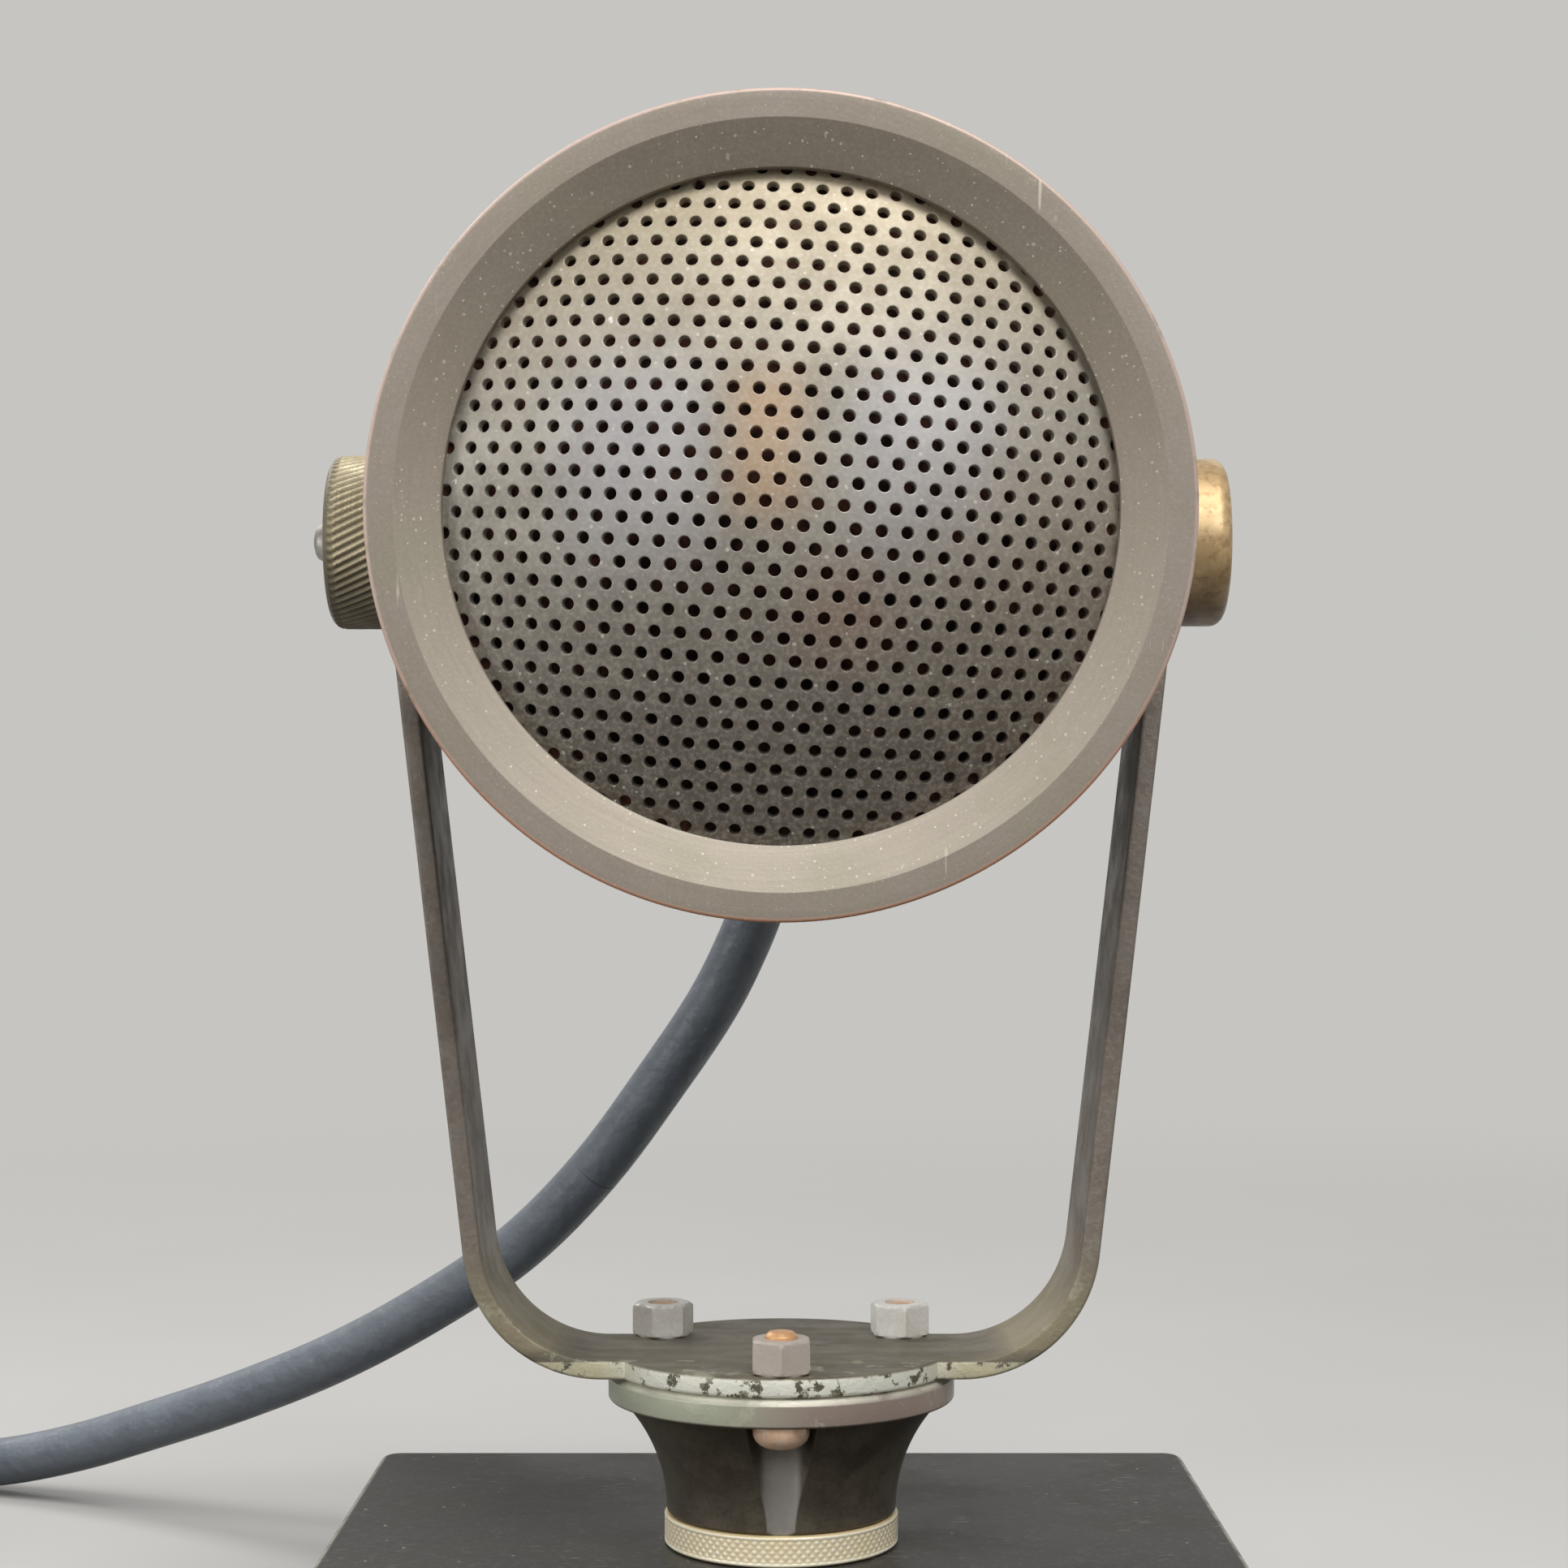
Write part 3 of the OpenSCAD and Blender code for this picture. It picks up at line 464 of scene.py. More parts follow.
def strap_shape(s):
    """The bent strap as one band from eye to eye.

    A row is a rounded rectangle across the band. Its width is the strap's, or the chord of the round pad
    or of the round eye where that is wider; its two faces follow the outer and the inner bend line. Each
    line runs along the pad, round the bend, up the arm and through the eye, and is mirrored to the left.
    """
    wide, thick = s.strap_width / 2, s.strap_thickness
    pad, eye = s.pad_diameter / 2, s.eye_diameter / 2
    on_pad = np.linspace(0, math.acos(wide / pad), 14)
    x = np.concatenate([pad * np.sin(on_pad), np.linspace(math.sqrt(pad**2 - wide**2), s.bend_middle, 4)[1:]])
    t = np.linspace(-np.pi / 2, -s.arm_lean, 26)[1:]
    round_bend = np.stack([np.cos(t), np.sin(t)], axis=1)
    up_arm = np.linspace(0, 1, 24)[1:, None]
    # the last row lies just short of the eye's top, where the band would have no width
    in_eye = np.linspace(-np.pi / 2 + math.asin(wide / eye), np.pi / 2 - 0.004, 30)
    lines = []
    for depth, level in ((0, s.flange_top_z), (thick, s.pad_top_z)):
        bend = [s.bend_middle, s.bend_z] + (s.bend_radius - depth) * round_bend
        foot = np.array([s.eye_out - depth, s.eye_foot_z])
        arm = bend[-1] + (foot - bend[-1]) * up_arm
        top = np.stack([0 * in_eye + s.eye_out - depth, s.pivot_z + eye * np.sin(in_eye)], axis=1)
        line = np.concatenate([np.stack([x, 0 * x + level], axis=1), bend, arm, top])
        lines.append(np.concatenate([line[:0:-1] * [-1, 1], line]))
    outer, inner = lines
    straight = len(x) - len(on_pad) + len(round_bend) + len(up_arm)
    half = np.concatenate([pad * np.cos(on_pad), [wide] * straight, eye * np.cos(in_eye)])
    half = np.concatenate([half[:0:-1], half])[:, None]
    edge = np.minimum(0.45, half)
    t = np.linspace(0, np.pi / 2, 5)
    c, n = np.cos(t)[None], np.sin(t)[None]
    # four quarter rounds, each giving the offset across the band and the depth from its outer face
    flat = half - edge
    across = np.concatenate([flat + edge * n, flat + edge * c, -flat - edge * n, -flat - edge * c], axis=1)
    near, far = edge * (1 - c), thick - edge
    depth = np.concatenate([near, far + edge * n, far + edge * c, edge * (1 - n)], axis=1)
    share = (depth / thick)[..., None]
    flat = outer[:, None] + (inner - outer)[:, None] * share
    points = np.stack([flat[..., 0], across, flat[..., 1]], axis=-1)
    points = np.concatenate([points.reshape(-1, 3), points[0].mean(0)[None], points[-1].mean(0)[None]])
    return points, capped_faces(*across.shape)


def grille_shape(s):
    """The perforated dome and its flat rim: six-sided cells round staggered holes, and a plain margin.

    The pattern is laid out flat. A place at distance d from the middle goes to the angle d / R at the
    dome's centre, or past the dome straight out on the rim. In a cell, the sheet runs from the six-sided
    edge to the hole's rounded rim and down its wall to the inner face.
    """
    radius, rim = s.opening_diameter / 2, 42.6
    # how far a hole of the pattern lies off the middle, and how far the pattern runs under the lip
    shift, under_lip = [1.24, -0.39], 1.6
    big = (radius**2 + s.crown**2) / (2 * s.crown)
    reach = big * math.asin(radius / big)
    row, col = np.meshgrid(np.arange(-20, 21), np.arange(-20, 21), indexing="ij")
    places = np.stack([(col + 0.5 * (row % 2)) * s.hole_pitch, row * s.hole_pitch * math.sqrt(0.75)], axis=-1)
    places = places.reshape(-1, 2) + shift
    places = places[np.linalg.norm(places, axis=1) < reach + under_lip]
    turn = np.arange(12) * np.pi / 6
    round_12 = np.stack([np.cos(turn), np.sin(turn)], axis=1)
    corner = s.hole_pitch / math.sqrt(3)
    six = round_12 * np.where(np.arange(12) % 2 == 1, corner, s.hole_pitch / 2)[:, None]
    hole = s.hole_diameter / 2
    # rings of a cell: place on the flat sheet, and depth below its outer face
    rings = [(six, 0.0), (round_12 * (hole + 0.12), 0.0), (round_12 * (hole + 0.03), 0.04)]
    rings += [(round_12 * hole, 0.14), (round_12 * hole, s.sheet), (six, s.sheet)]
    flat = places[:, None, None] + np.stack([r for r, _ in rings])[None]
    depth = np.array([d for _, d in rings])[None, :, None] + np.zeros(flat.shape[:-1])
    cell = grid_faces(len(rings), 12)
    faces = (cell[None] + 12 * len(rings) * np.arange(len(places))[:, None, None]).reshape(-1, 4)
    # edges of cells that no neighbour shares make the outline that the margin joins
    neighbour = np.roll(six, -1, axis=0)
    key = np.round(places[:, None] + (six + neighbour)[None] / 2, 3).reshape(-1, 2)
    _, where, count = np.unique(key, axis=0, return_inverse=True, return_counts=True)
    free = (count[where.ravel()] == 1).reshape(-1, 12)
    ends = np.stack([(places[:, None] + six[None])[free], (places[:, None] + neighbour[None])[free]], axis=1)
    out = ends / np.linalg.norm(ends, axis=-1, keepdims=True) * (reach + rim - radius)
    strip = np.concatenate([ends, out[:, ::-1]], axis=1)
    wall = np.concatenate([out, out[:, ::-1]], axis=1)
    margin = np.concatenate([strip, strip, wall]).reshape(-1, 2)
    level = np.repeat([[0, 0, 0, 0], [s.sheet] * 4, [0, 0, s.sheet, s.sheet]], len(ends), axis=0)
    faces = np.concatenate([faces, depth.size + np.arange(len(margin)).reshape(-1, 4)])
    flat = np.concatenate([flat.reshape(-1, 2), margin])
    depth = np.concatenate([depth.ravel(), level.ravel()])
    d = np.linalg.norm(flat, axis=1)
    unit = flat / np.maximum(d, 1e-9)[:, None]
    cos, sin = math.cos(s.row_turn), math.sin(s.row_turn)
    unit = np.stack([cos * unit[:, 0] + sin * unit[:, 1], -sin * unit[:, 0] + cos * unit[:, 1]], axis=1)
    r = np.where(d < reach, (big - depth) * np.sin(d / big), radius + d - reach)
    y = np.where(d < reach, big - s.crown - (big - depth) * np.cos(d / big), depth) + s.rim_front
    return np.stack([r * unit[:, 0], y, s.pivot_z + r * unit[:, 1]], axis=1), faces


def route_line(points, per_stretch=6):
    """Smooth line through route points: on each stretch a cubic leaves and arrives along half the chord of
    the neighbouring points."""
    p = np.array(points, float)
    ends = np.concatenate([[2 * p[0] - p[1]], p, [2 * p[-1] - p[-2]]])
    slope = (ends[2:] - ends[:-2]) / 2
    t = np.linspace(0, 1, per_stretch, endpoint=False)[:, None, None]
    a, b, u, v = p[:-1], p[1:], slope[:-1], slope[1:]
    line = (2 * t**3 - 3 * t**2 + 1) * a + (3 * t**2 - 2 * t**3) * b
    line += (t**3 - 2 * t**2 + t) * u + (t**3 - t**2) * v
    return np.concatenate([line.transpose(1, 0, 2).reshape(-1, 3), p[-1:]])


def tube_shape(path, radius, sides=20):
    """A closed round tube along a path.

    Each ring is radius (cos a across + sin a up), with the two vectors carried along the path by
    taking out of them what points along its direction.
    """
    step = np.gradient(path, axis=0)
    along = step / np.linalg.norm(step, axis=1, keepdims=True)
    across = np.empty_like(along)
    # nearly upright, which no path is at its start
    side = np.array([0.02, 0.01, 1.0])
    for i, direction in enumerate(along):
        side = side - (side @ direction) * direction
        side = side / np.linalg.norm(side)
        across[i] = side
    up = np.cross(along, across)
    a = np.linspace(0, 2 * np.pi, sides, endpoint=False)[None, :, None]
    rings = path[:, None] + radius * (np.cos(a) * across[:, None] + np.sin(a) * up[:, None])
    points = np.concatenate([rings.reshape(-1, 3), path[:1], path[-1:]])
    return points, capped_faces(len(path), sides)


def clean_mesh(name, shape):
    """A mesh of a shape in millimetres, with its doubles merged and its faces outwards."""
    points, faces = shape
    mesh = bpy.data.meshes.new(name)
    mesh.from_pydata((points * MM).tolist(), [], [list(dict.fromkeys(f)) for f in faces.tolist()])
    work = bmesh.new()
    work.from_mesh(mesh)
    bmesh.ops.remove_doubles(work, verts=work.verts, dist=2e-6)
    bmesh.ops.recalc_face_normals(work, faces=work.faces)
    work.to_mesh(mesh)
    work.free()
    return mesh


def shaded(mesh, sharp):
    """Shades a mesh smooth, except across edges sharper than an angle in degrees."""
    mesh.shade_smooth()
    mesh.set_sharp_from_angle(angle=math.radians(sharp))


def linked(name, data):
    """A new object of the scene."""
    obj = bpy.data.objects.new(name, data)
    bpy.context.scene.collection.objects.link(obj)
    return obj


def made(name, shape, slot, body=None, replaces=(), sharp=35):
    """One mesh object from a shape, with its slot's finish, its body and the nodes that it replaces."""
    mesh = clean_mesh(name, shape)
    shaded(mesh, sharp)
    mesh.materials.append(finish_of(slot))
    obj = linked(name, mesh)
    if body:
        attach(obj, body)
    if replaces:
        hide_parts(*replaces)
    return obj


def carve(obj, tools, sharp):
    """Joins shapes to a mesh object or cuts them out of it, in turn, and keeps the result as its mesh."""
    helpers = []
    for operation, shape in tools:
        helpers.append(linked("tool", clean_mesh("tool", shape)))
        cut = obj.modifiers.new(operation, "BOOLEAN")
        cut.operation = operation
        cut.solver = "EXACT"
        cut.object = helpers[-1]
    result = obj.evaluated_get(bpy.context.evaluated_depsgraph_get())
    mesh = bpy.data.meshes.new_from_object(result)
    obj.modifiers.clear()
    obj.data = mesh
    shaded(mesh, sharp)
    for helper in helpers:
        bpy.data.meshes.remove(helper.data)


# Finishes


def add(tree, kind, sockets=None, output=0, **settings):
    """Adds a shader node with its settings and links, and gives one of its outputs.

    Sockets go by name or by number. Those of a Map Range are 0 for the value, 1 and 2 for the range that it
    comes from, and 3 and 4 for the one it goes to, 0 to 1 unless they are given.
    """
    node = tree.nodes.new("ShaderNode" + kind)
    for key, value in settings.items():
        setattr(node, key, value)
    for key, value in (sockets or {}).items():
        if isinstance(value, bpy.types.NodeSocket):
            tree.links.new(value, node.inputs[key])
        else:
            node.inputs[key].default_value = value
    return node.outputs[output]


def finish(name, **constants):
    """A material with a Principled shader whose named sockets are set, as its tree and the shader."""
    material = bpy.data.materials.new(name)
    material.use_nodes = True
    tree = material.node_tree
    shader = tree.nodes["Principled BSDF"]
    for key, value in constants.items():
        shader.inputs[key.replace("_", " ")].default_value = value
    return material, tree, shader


def layered(tree, ground, *layers):
    """Colours laid one over another.

    A layer is a colour, its strength, and the shares of the surface where it lies; it covers by the
    product of them all. A Mix node takes its colours at sockets 6 and 7 and gives theirs at output 2.
    """
    for tint, strength, *shares in layers:
        for share in shares:
            strength = add(tree, "Math", {0: share, 1: strength}, operation="MULTIPLY", use_clamp=True)
        tint = linear(tint) if isinstance(tint, str) else tint
        ground = add(tree, "Mix", {0: strength, 6: ground, 7: tint}, 2, data_type="RGBA")
    return ground


def dressed(tree, shader, base, share, smooth, rough, height, depth):
    """Gives a shader its colour, a roughness that goes from smooth to rough with a share, and the bump of a
    height field whose full height is a depth in millimetres."""
    bump = add(tree, "Bump", {"Height": height, "Distance": depth * MM, "Strength": 1.0})
    gloss = add(tree, "MapRange", {0: share, 3: smooth, 4: rough})
    for key, output in (("Base Color", base), ("Roughness", gloss), ("Normal", bump)):
        tree.links.new(output, shader.inputs[key])


def place(tree, middle=(0, 0, 0), stretch=(1, 1, 1)):
    """Object coordinates measured from a middle given in millimetres, and stretched."""
    spot = add(tree, "TexCoord", None, "Object")
    shift = [-v * k * MM for v, k in zip(middle, stretch)]
    return add(tree, "Mapping", {"Vector": spot, "Location": shift, "Scale": stretch}, vector_type="POINT")


def coordinates(tree, middle=(0, 0, 0)):
    """The object coordinates X, Y and Z from a middle, in millimetres."""
    return add(tree, "SeparateXYZ", {0: place(tree, middle, (1 / MM,) * 3)}).node.outputs


def cloud(tree, spot, size, low, high, detail=4.0, roughness=0.6):
    """Soft patches of a size in millimetres: 0 below a noise value of low and 1 above high."""
    sockets = {"Vector": spot, "Scale": 1000 / size, "Detail": detail, "Roughness": roughness}
    noise = add(tree, "TexNoise", sockets)
    return add(tree, "MapRange", {0: noise, 1: low, 2: high}, interpolation_type="SMOOTHSTEP")


def dust(tree, spot, size, share):
    """Pale specks of mixed size: some of the cells of a size in millimetres are covered round their middle,
    as far as 0.04 to 0.2 of a cell, drawn for each."""
    cells = add(tree, "TexVoronoi", {"Vector": spot, "Scale": 1000 / size}, feature="F1").node.outputs
    drawn = add(tree, "SeparateColor", {0: cells["Color"]}).node.outputs
    reach = add(tree, "MapRange", {0: drawn["Green"], 3: 0.04, 4: 0.2})
    inside = add(tree, "Math", {0: cells["Distance"], 1: reach}, operation="LESS_THAN")
    picked = add(tree, "Math", {0: drawn["Red"], 1: share}, operation="LESS_THAN")
    return add(tree, "Math", {0: inside, 1: picked}, operation="MULTIPLY")


def distance_from_axis(tree, middle, flat=(1, 0, 1)):
    """Distance in millimetres from an axis through a middle, square to the directions kept in flat."""
    spot = place(tree, middle, [k / MM for k in flat])
    return add(tree, "VectorMath", {0: spot}, "Value", operation="LENGTH")


def turning_marks(tree, spot, radius, pitch):
    """Fine broken rings left by the tool: noise that changes fast with the distance from the axis, and
    a 25th as fast along a ring."""
    out = add(tree, "CombineXYZ", {"X": radius})
    slow = (0.04 / MM,) * 3
    along = add(tree, "VectorMath", {0: spot, 1: slow, 2: out}, operation="MULTIPLY_ADD")
    return add(tree, "TexNoise", {"Vector": along, "Scale": 1 / pitch, "Detail": 2.0, "Roughness": 0.7})


def flakes(tree, spot, size, low, high):
    """Ragged flakes of corrosion: patches of a size in millimetres with hard, broken edges."""
    return cloud(tree, spot, size, low, high, detail=8, roughness=0.72)


def black_enamel(s):
    """Baked black enamel of the block: half-matt and greyed by dust, rubbed to grey along its upper edges,
    with fine scratches."""
    material, tree, shader = finish("scratched_black_enamel", Specular_IOR_Level=0.3)
    spot = place(tree)
    wear = cloud(tree, spot, 24, 0.4, 0.7, detail=6)
    grain = cloud(tree, spot, 0.8, 0.5, 0.75)
    scratches = cloud(tree, place(tree, stretch=(0.12, 1, 1)), 0.5, 0.67, 0.73, detail=1)
    height, top = coordinates(tree)["Z"], s.block_top
    over = add(tree, "MapRange", {0: height, 1: top - 1.3, 2: top - 0.9})
    under = add(tree, "MapRange", {0: height, 1: top - 0.02, 2: top - 0.12})
    base = layered(
        tree,
        s.enamel,
        ("#4a4640", 0.6, wear),
        ("#6a655c", 0.35, grain),
        ("#9a9488", 0.6, scratches, cloud(tree, spot, 14, 0.48, 0.6)),
        ("#a39d92", 0.85, over, under, cloud(tree, spot, 5, 0.3, 0.55)),
        ("#b7b1a4", 0.6, dust(tree, spot, 1.3, 0.05)),
    )
    dressed(tree, shader, base, wear, 0.42, 0.6, grain, 0.01)
    return material


def pressed_felt():
    """Pressed wool felt: matt, with a short pile that shows as soft grain."""
    material, tree, shader = finish("pressed_felt", Sheen_Weight=0.4, Sheen_Roughness=0.5)
    pile = cloud(tree, place(tree), 0.7, 0.3, 0.7, detail=6)
    base = layered(tree, linear("#22282b"), ("#363d40", 1.0, pile))
    dressed(tree, shader, base, pile, 0.9, 1.0, pile, 0.15)
    return material


def extruded_rubber(s):
    """Smooth extruded rubber: bluish black with a waxy gloss, its skin slightly wavy, with lint and dust."""
    material, tree, shader = finish("smooth_black_rubber", IOR=1.52)
    spot = place(tree)
    bloom = cloud(tree, spot, 8, 0.35, 0.7, detail=5)
    waves = cloud(tree, spot, 5, 0.25, 0.75, detail=3)
    base = layered(
        tree,
        s.rubber,
        ("#7d848c", 0.6, bloom),
        ("#a5a9ab", 0.5, dust(tree, spot, 1.2, 0.08)),
    )
    dressed(tree, shader, base, bloom, 0.4, 0.52, waves, 0.2)
    return material


def plated_nickel(s):
    """Nickel plate over brass, dulled by handling: warm bright grey with duller, yellower smears. The nuts
    on the pad are weathered whitish and browner on the front one; the connector has kept its gloss."""
    material, tree, shader = finish("worn_nickel_plate", Metallic=0.12)
    spot = place(tree)
    smear = cloud(tree, spot, 5, 0.42, 0.7, detail=6)
    pits = cloud(tree, spot, 0.5, 0.4, 0.6)
    parts = coordinates(tree)
    front = add(tree, "MapRange", {0: parts["Y"], 1: -11, 2: -14})
    far = add(tree, "MapRange", {0: parts["X"], 1: -50, 2: -100})
    base = layered(
        tree,
        s.nickel,
        ("#c6bfb3", 1.0, far),
        ("#d8cfbd", 0.4, smear, add(tree, "Math", {0: 1.0, 1: far}, operation="SUBTRACT")),
        ("#a59c8e", 0.12, pits),
        ("#a39080", 0.7, front),
        ("#8f887c", 0.5, smear, far),
    )
    dressed(tree, shader, base, smear, 0.42, 0.52, pits, 0.008)
    plated = add(tree, "MapRange", {0: far, 3: 0.12, 4: 0.95})
    tree.links.new(plated, shader.inputs["Metallic"])
    return material


def laminated_board():
    """Paper laminate: brown, half-matt, with a faint layered grain."""
    material, tree, shader = finish("brown_laminate", IOR=1.55)
    grain = cloud(tree, place(tree, stretch=(1, 14, 1)), 2.4, 0.3, 0.7, detail=5)
    base = layered(tree, linear("#4a2a16"), ("#6d4326", 1.0, grain))
    dressed(tree, shader, base, grain, 0.38, 0.55, grain, 0.02)
    return material


def polished_brass(s):
    """Bare brass with a polished knurl: bright creamy gold, with browner tarnish between the diamonds."""
    material, tree, shader = finish("polished_knurled_brass", Metallic=0.1)
    radius = distance_from_axis(tree, (0, 0, 0), (1, 1, 0))
    ridge = s.lock_ring_diameter / 2
    high = add(tree, "MapRange", {0: radius, 1: ridge - 0.14, 2: ridge - 0.04})
    spot = place(tree)
    smear = cloud(tree, spot, 4, 0.45, 0.7, detail=6)
    pits = cloud(tree, spot, 0.3, 0.4, 0.6)
    base = layered(tree, linear("#e6cf9e"), (s.brass, 1.0, high), ("#efdbaa", 0.35, smear))
    dressed(tree, shader, base, smear, 0.32, 0.44, pits, 0.006)
    return material


def blackened_brass(s):
    """Chemically blackened brass of the socket: warm brown-black with a rubbed gloss. The flange is
    grey-green on its left side and brown on its right, with a pale painted highlight along its chamfer, and a
    grey painted reflection runs down the middle of the front flute, fading out below the bolt's head."""
    material, tree, shader = finish("blackened_brass", Metallic=0.4)
    spot = place(tree)
    mottle = cloud(tree, spot, 5, 0.38, 0.68, detail=7)
    grain = cloud(tree, spot, 0.7, 0.4, 0.7)
    parts = coordinates(tree)
    top, low = s.flange_top_z, s.flange_low_z
    # the flange's chamfer, where a highlight is painted
    chamfer = add(tree, "MapRange", {0: parts["Z"], 1: top - 1.1, 2: top - 0.6})
    flange = add(tree, "MapRange", {0: parts["Z"], 1: low, 2: low + 0.4})
    below = add(tree, "MapRange", {0: parts["Z"], 1: low + 0.4, 2: low})
    left = add(tree, "MapRange", {0: parts["X"], 1: 4, 2: -8})
    bolt_foot = distance_from_axis(tree, (0, -s.bolt_circle / 2, 0), (1, 1, 0))
    wall = s.bolt_head / 2 + FLUTE_PLAY
    flute = add(tree, "MapRange", {0: bolt_foot, 1: wall + 0.12, 2: wall - 0.02})
    aside = add(tree, "Math", {0: parts["X"]}, operation="ABSOLUTE")
    # the middle of the front flute, where the painted reflection runs
    flute_reflection = add(tree, "MapRange", {0: aside, 1: 2.8, 2: 1.8}, interpolation_type="SMOOTHSTEP")
    lower = add(tree, "MapRange", {0: parts["Z"], 1: low - 3, 2: low - 7.5})
    base = layered(
        tree,
        s.blackening,
        ("#6f6656", 0.55, mottle),
        ("#2a261f", 0.25, grain),
        # painted reflection: a grey stripe down the middle of the front flute, fading out just below the
        # bolt's head
        ("#a9a5a0", 0.85, flute, below, flute_reflection, lower),
        ("#9c8b81", 0.9, flange),
        (s.verdigris, 0.75, flange, left),
        # pale painted highlight along the flange's chamfer
        ("#d9d6c6", 0.85, chamfer, cloud(tree, spot, 6, 0.25, 0.5)),
        ("#b9baa6", 0.6, flange, flakes(tree, spot, 4, 0.56, 0.62)),
    )
    dressed(tree, shader, base, mottle, 0.34, 0.52, grain, 0.01)
    return material


def patinated_bronze(s):
    """Brown-grey patina of the bent strap: matt and mottled. The pad is dark olive brown with streaks, its
    front edge is crusted with cream-green flakes, and the bends are yellower, with flakes below."""
    material, tree, shader = finish("patinated_bronze_strap", Metallic=0.3)
    spot = place(tree)
    mottle = cloud(tree, spot, 7, 0.36, 0.66, detail=8, roughness=0.7)
    grain = cloud(tree, spot, 0.7, 0.38, 0.7, detail=5)
    parts = coordinates(tree)
    top = s.pad_top_z
    reach = {0: parts["Z"], 1: top + 18, 2: top + 3}
    bends = add(tree, "MapRange", reach, interpolation_type="SMOOTHSTEP")
    pad = add(tree, "MapRange", {0: parts["Z"], 1: top + 1.6, 2: top + 0.4})
    edge = add(tree, "MapRange", {0: parts["Z"], 1: top - 0.1, 2: top - 0.4})
    face = add(tree, "MapRange", {0: parts["Z"], 1: top - 0.4, 2: top - 0.1})
    front = add(tree, "MapRange", {0: parts["Y"], 1: -9.2, 2: -9.8})
    out = distance_from_axis(tree, (0, 0, 0), (1, 1, 0))
    rim = add(tree, "MapRange", {0: out, 1: 20.5, 2: 21.8})
    streaks = cloud(tree, place(tree, stretch=(0.25, 1, 1)), 3, 0.4, 0.62, detail=6)
    crust = flakes(tree, spot, 3.2, 0.43, 0.47)
    aside = add(tree, "Math", {0: parts["X"]}, operation="ABSOLUTE")
    aside = add(tree, "MapRange", {0: aside, 1: 17, 2: 23})
    base = layered(
        tree,
        s.patina,
        ("#685e54", 0.6, mottle),
        ("#a0968a", 0.3, grain),
        ("#9a9074", 0.8, bends),
        ("#5f594d", 0.85, pad, face),
        ("#88806f", 0.55, pad, face, streaks),
        ("#3d3b2c", 0.75, pad, edge, front),
        ("#aba992", 0.7, bends, front, flakes(tree, spot, 4, 0.53, 0.6)),
        ("#e9e8da", 1.0, pad, edge, front, rim, crust),
        ("#c4bb96", 0.85, pad, edge, front, rim, crust, aside),
    )
    dressed(tree, shader, base, mottle, 0.46, 0.66, grain, 0.03)
    return material


def copper_bolt(s):
    """Copper-coloured bolts: orange where bare, with brown tarnish and pale scale."""
    material, tree, shader = finish("tarnished_copper_bolt", Metallic=0.25)
    spot = place(tree)
    tarnish = cloud(tree, spot, 2.2, 0.42, 0.66, detail=6)
    scale = flakes(tree, spot, 2, 0.55, 0.6)
    end = add(tree, "MapRange", {0: coordinates(tree)["Z"], 1: s.pad_top_z, 2: s.pad_top_z + 1})
    base = layered(
        tree,
        linear("#ffdaba"),
        ("#c08c6a", 0.4, tarnish),
        ("#f0ddc8", 0.6, scale),
        ("#d9a066", 0.8, end),
    )
    dressed(tree, shader, base, tarnish, 0.36, 0.55, tarnish, 0.02)
    return material


def painted_shade_below(tree, s):
    """Painted shade on a knob: 1 on its lower side, which light seldom reaches, and 0 on its upper side."""
    height = coordinates(tree, (0, 0, s.pivot_z))["Z"]
    return add(tree, "MapRange", {0: height, 1: -2, 2: -9})


def knurled_bronze(s):
    """Bronze of the knurled knob: dull brown, rubbed paler on the knurl's ridges, with painted shade below.
    """
    material, tree, shader = finish("dull_knurled_bronze", Metallic=0.3)
    radius = distance_from_axis(tree, (0, 0, s.pivot_z), (0, 1, 1))
    ridge = s.left_knob_diameter / 2
    high = add(tree, "MapRange", {0: radius, 1: ridge - 0.3, 2: ridge - 0.03})
    spot = place(tree)
    grime = cloud(tree, spot, 3.5, 0.36, 0.66, detail=7)
    grain = cloud(tree, spot, 0.5, 0.4, 0.65)
    base = layered(
        tree,
        linear("#6d6450"),
        (s.knob_bronze, 0.95, high),
        ("#857b62", 0.45, grime),
        # painted shade on the knob's lower side
        ("#40392d", 0.75, painted_shade_below(tree, s)),
    )
    dressed(tree, shader, base, grime, 0.42, 0.58, grain, 0.012)
    return material


def rubbed_brass(s):
    """Brass of the smooth knob: pale gold where fingers rub it, stained brown, and painted shade below."""
    material, tree, shader = finish("rubbed_brass_knob", Metallic=0.45)
    spot = place(tree)
    blotch = cloud(tree, spot, 8, 0.42, 0.62, detail=5)
    grain = cloud(tree, spot, 1.2, 0.45, 0.7, detail=5)
    base = layered(
        tree,
        s.knob_brass,
        ("#a5865a", 0.7, blotch),
        ("#7a5632", 0.55, grain),
        # painted shade on the knob's lower side
        ("#3d2a17", 0.85, painted_shade_below(tree, s)),
    )
    dressed(tree, shader, base, blotch, 0.3, 0.46, grain, 0.008)
    return material


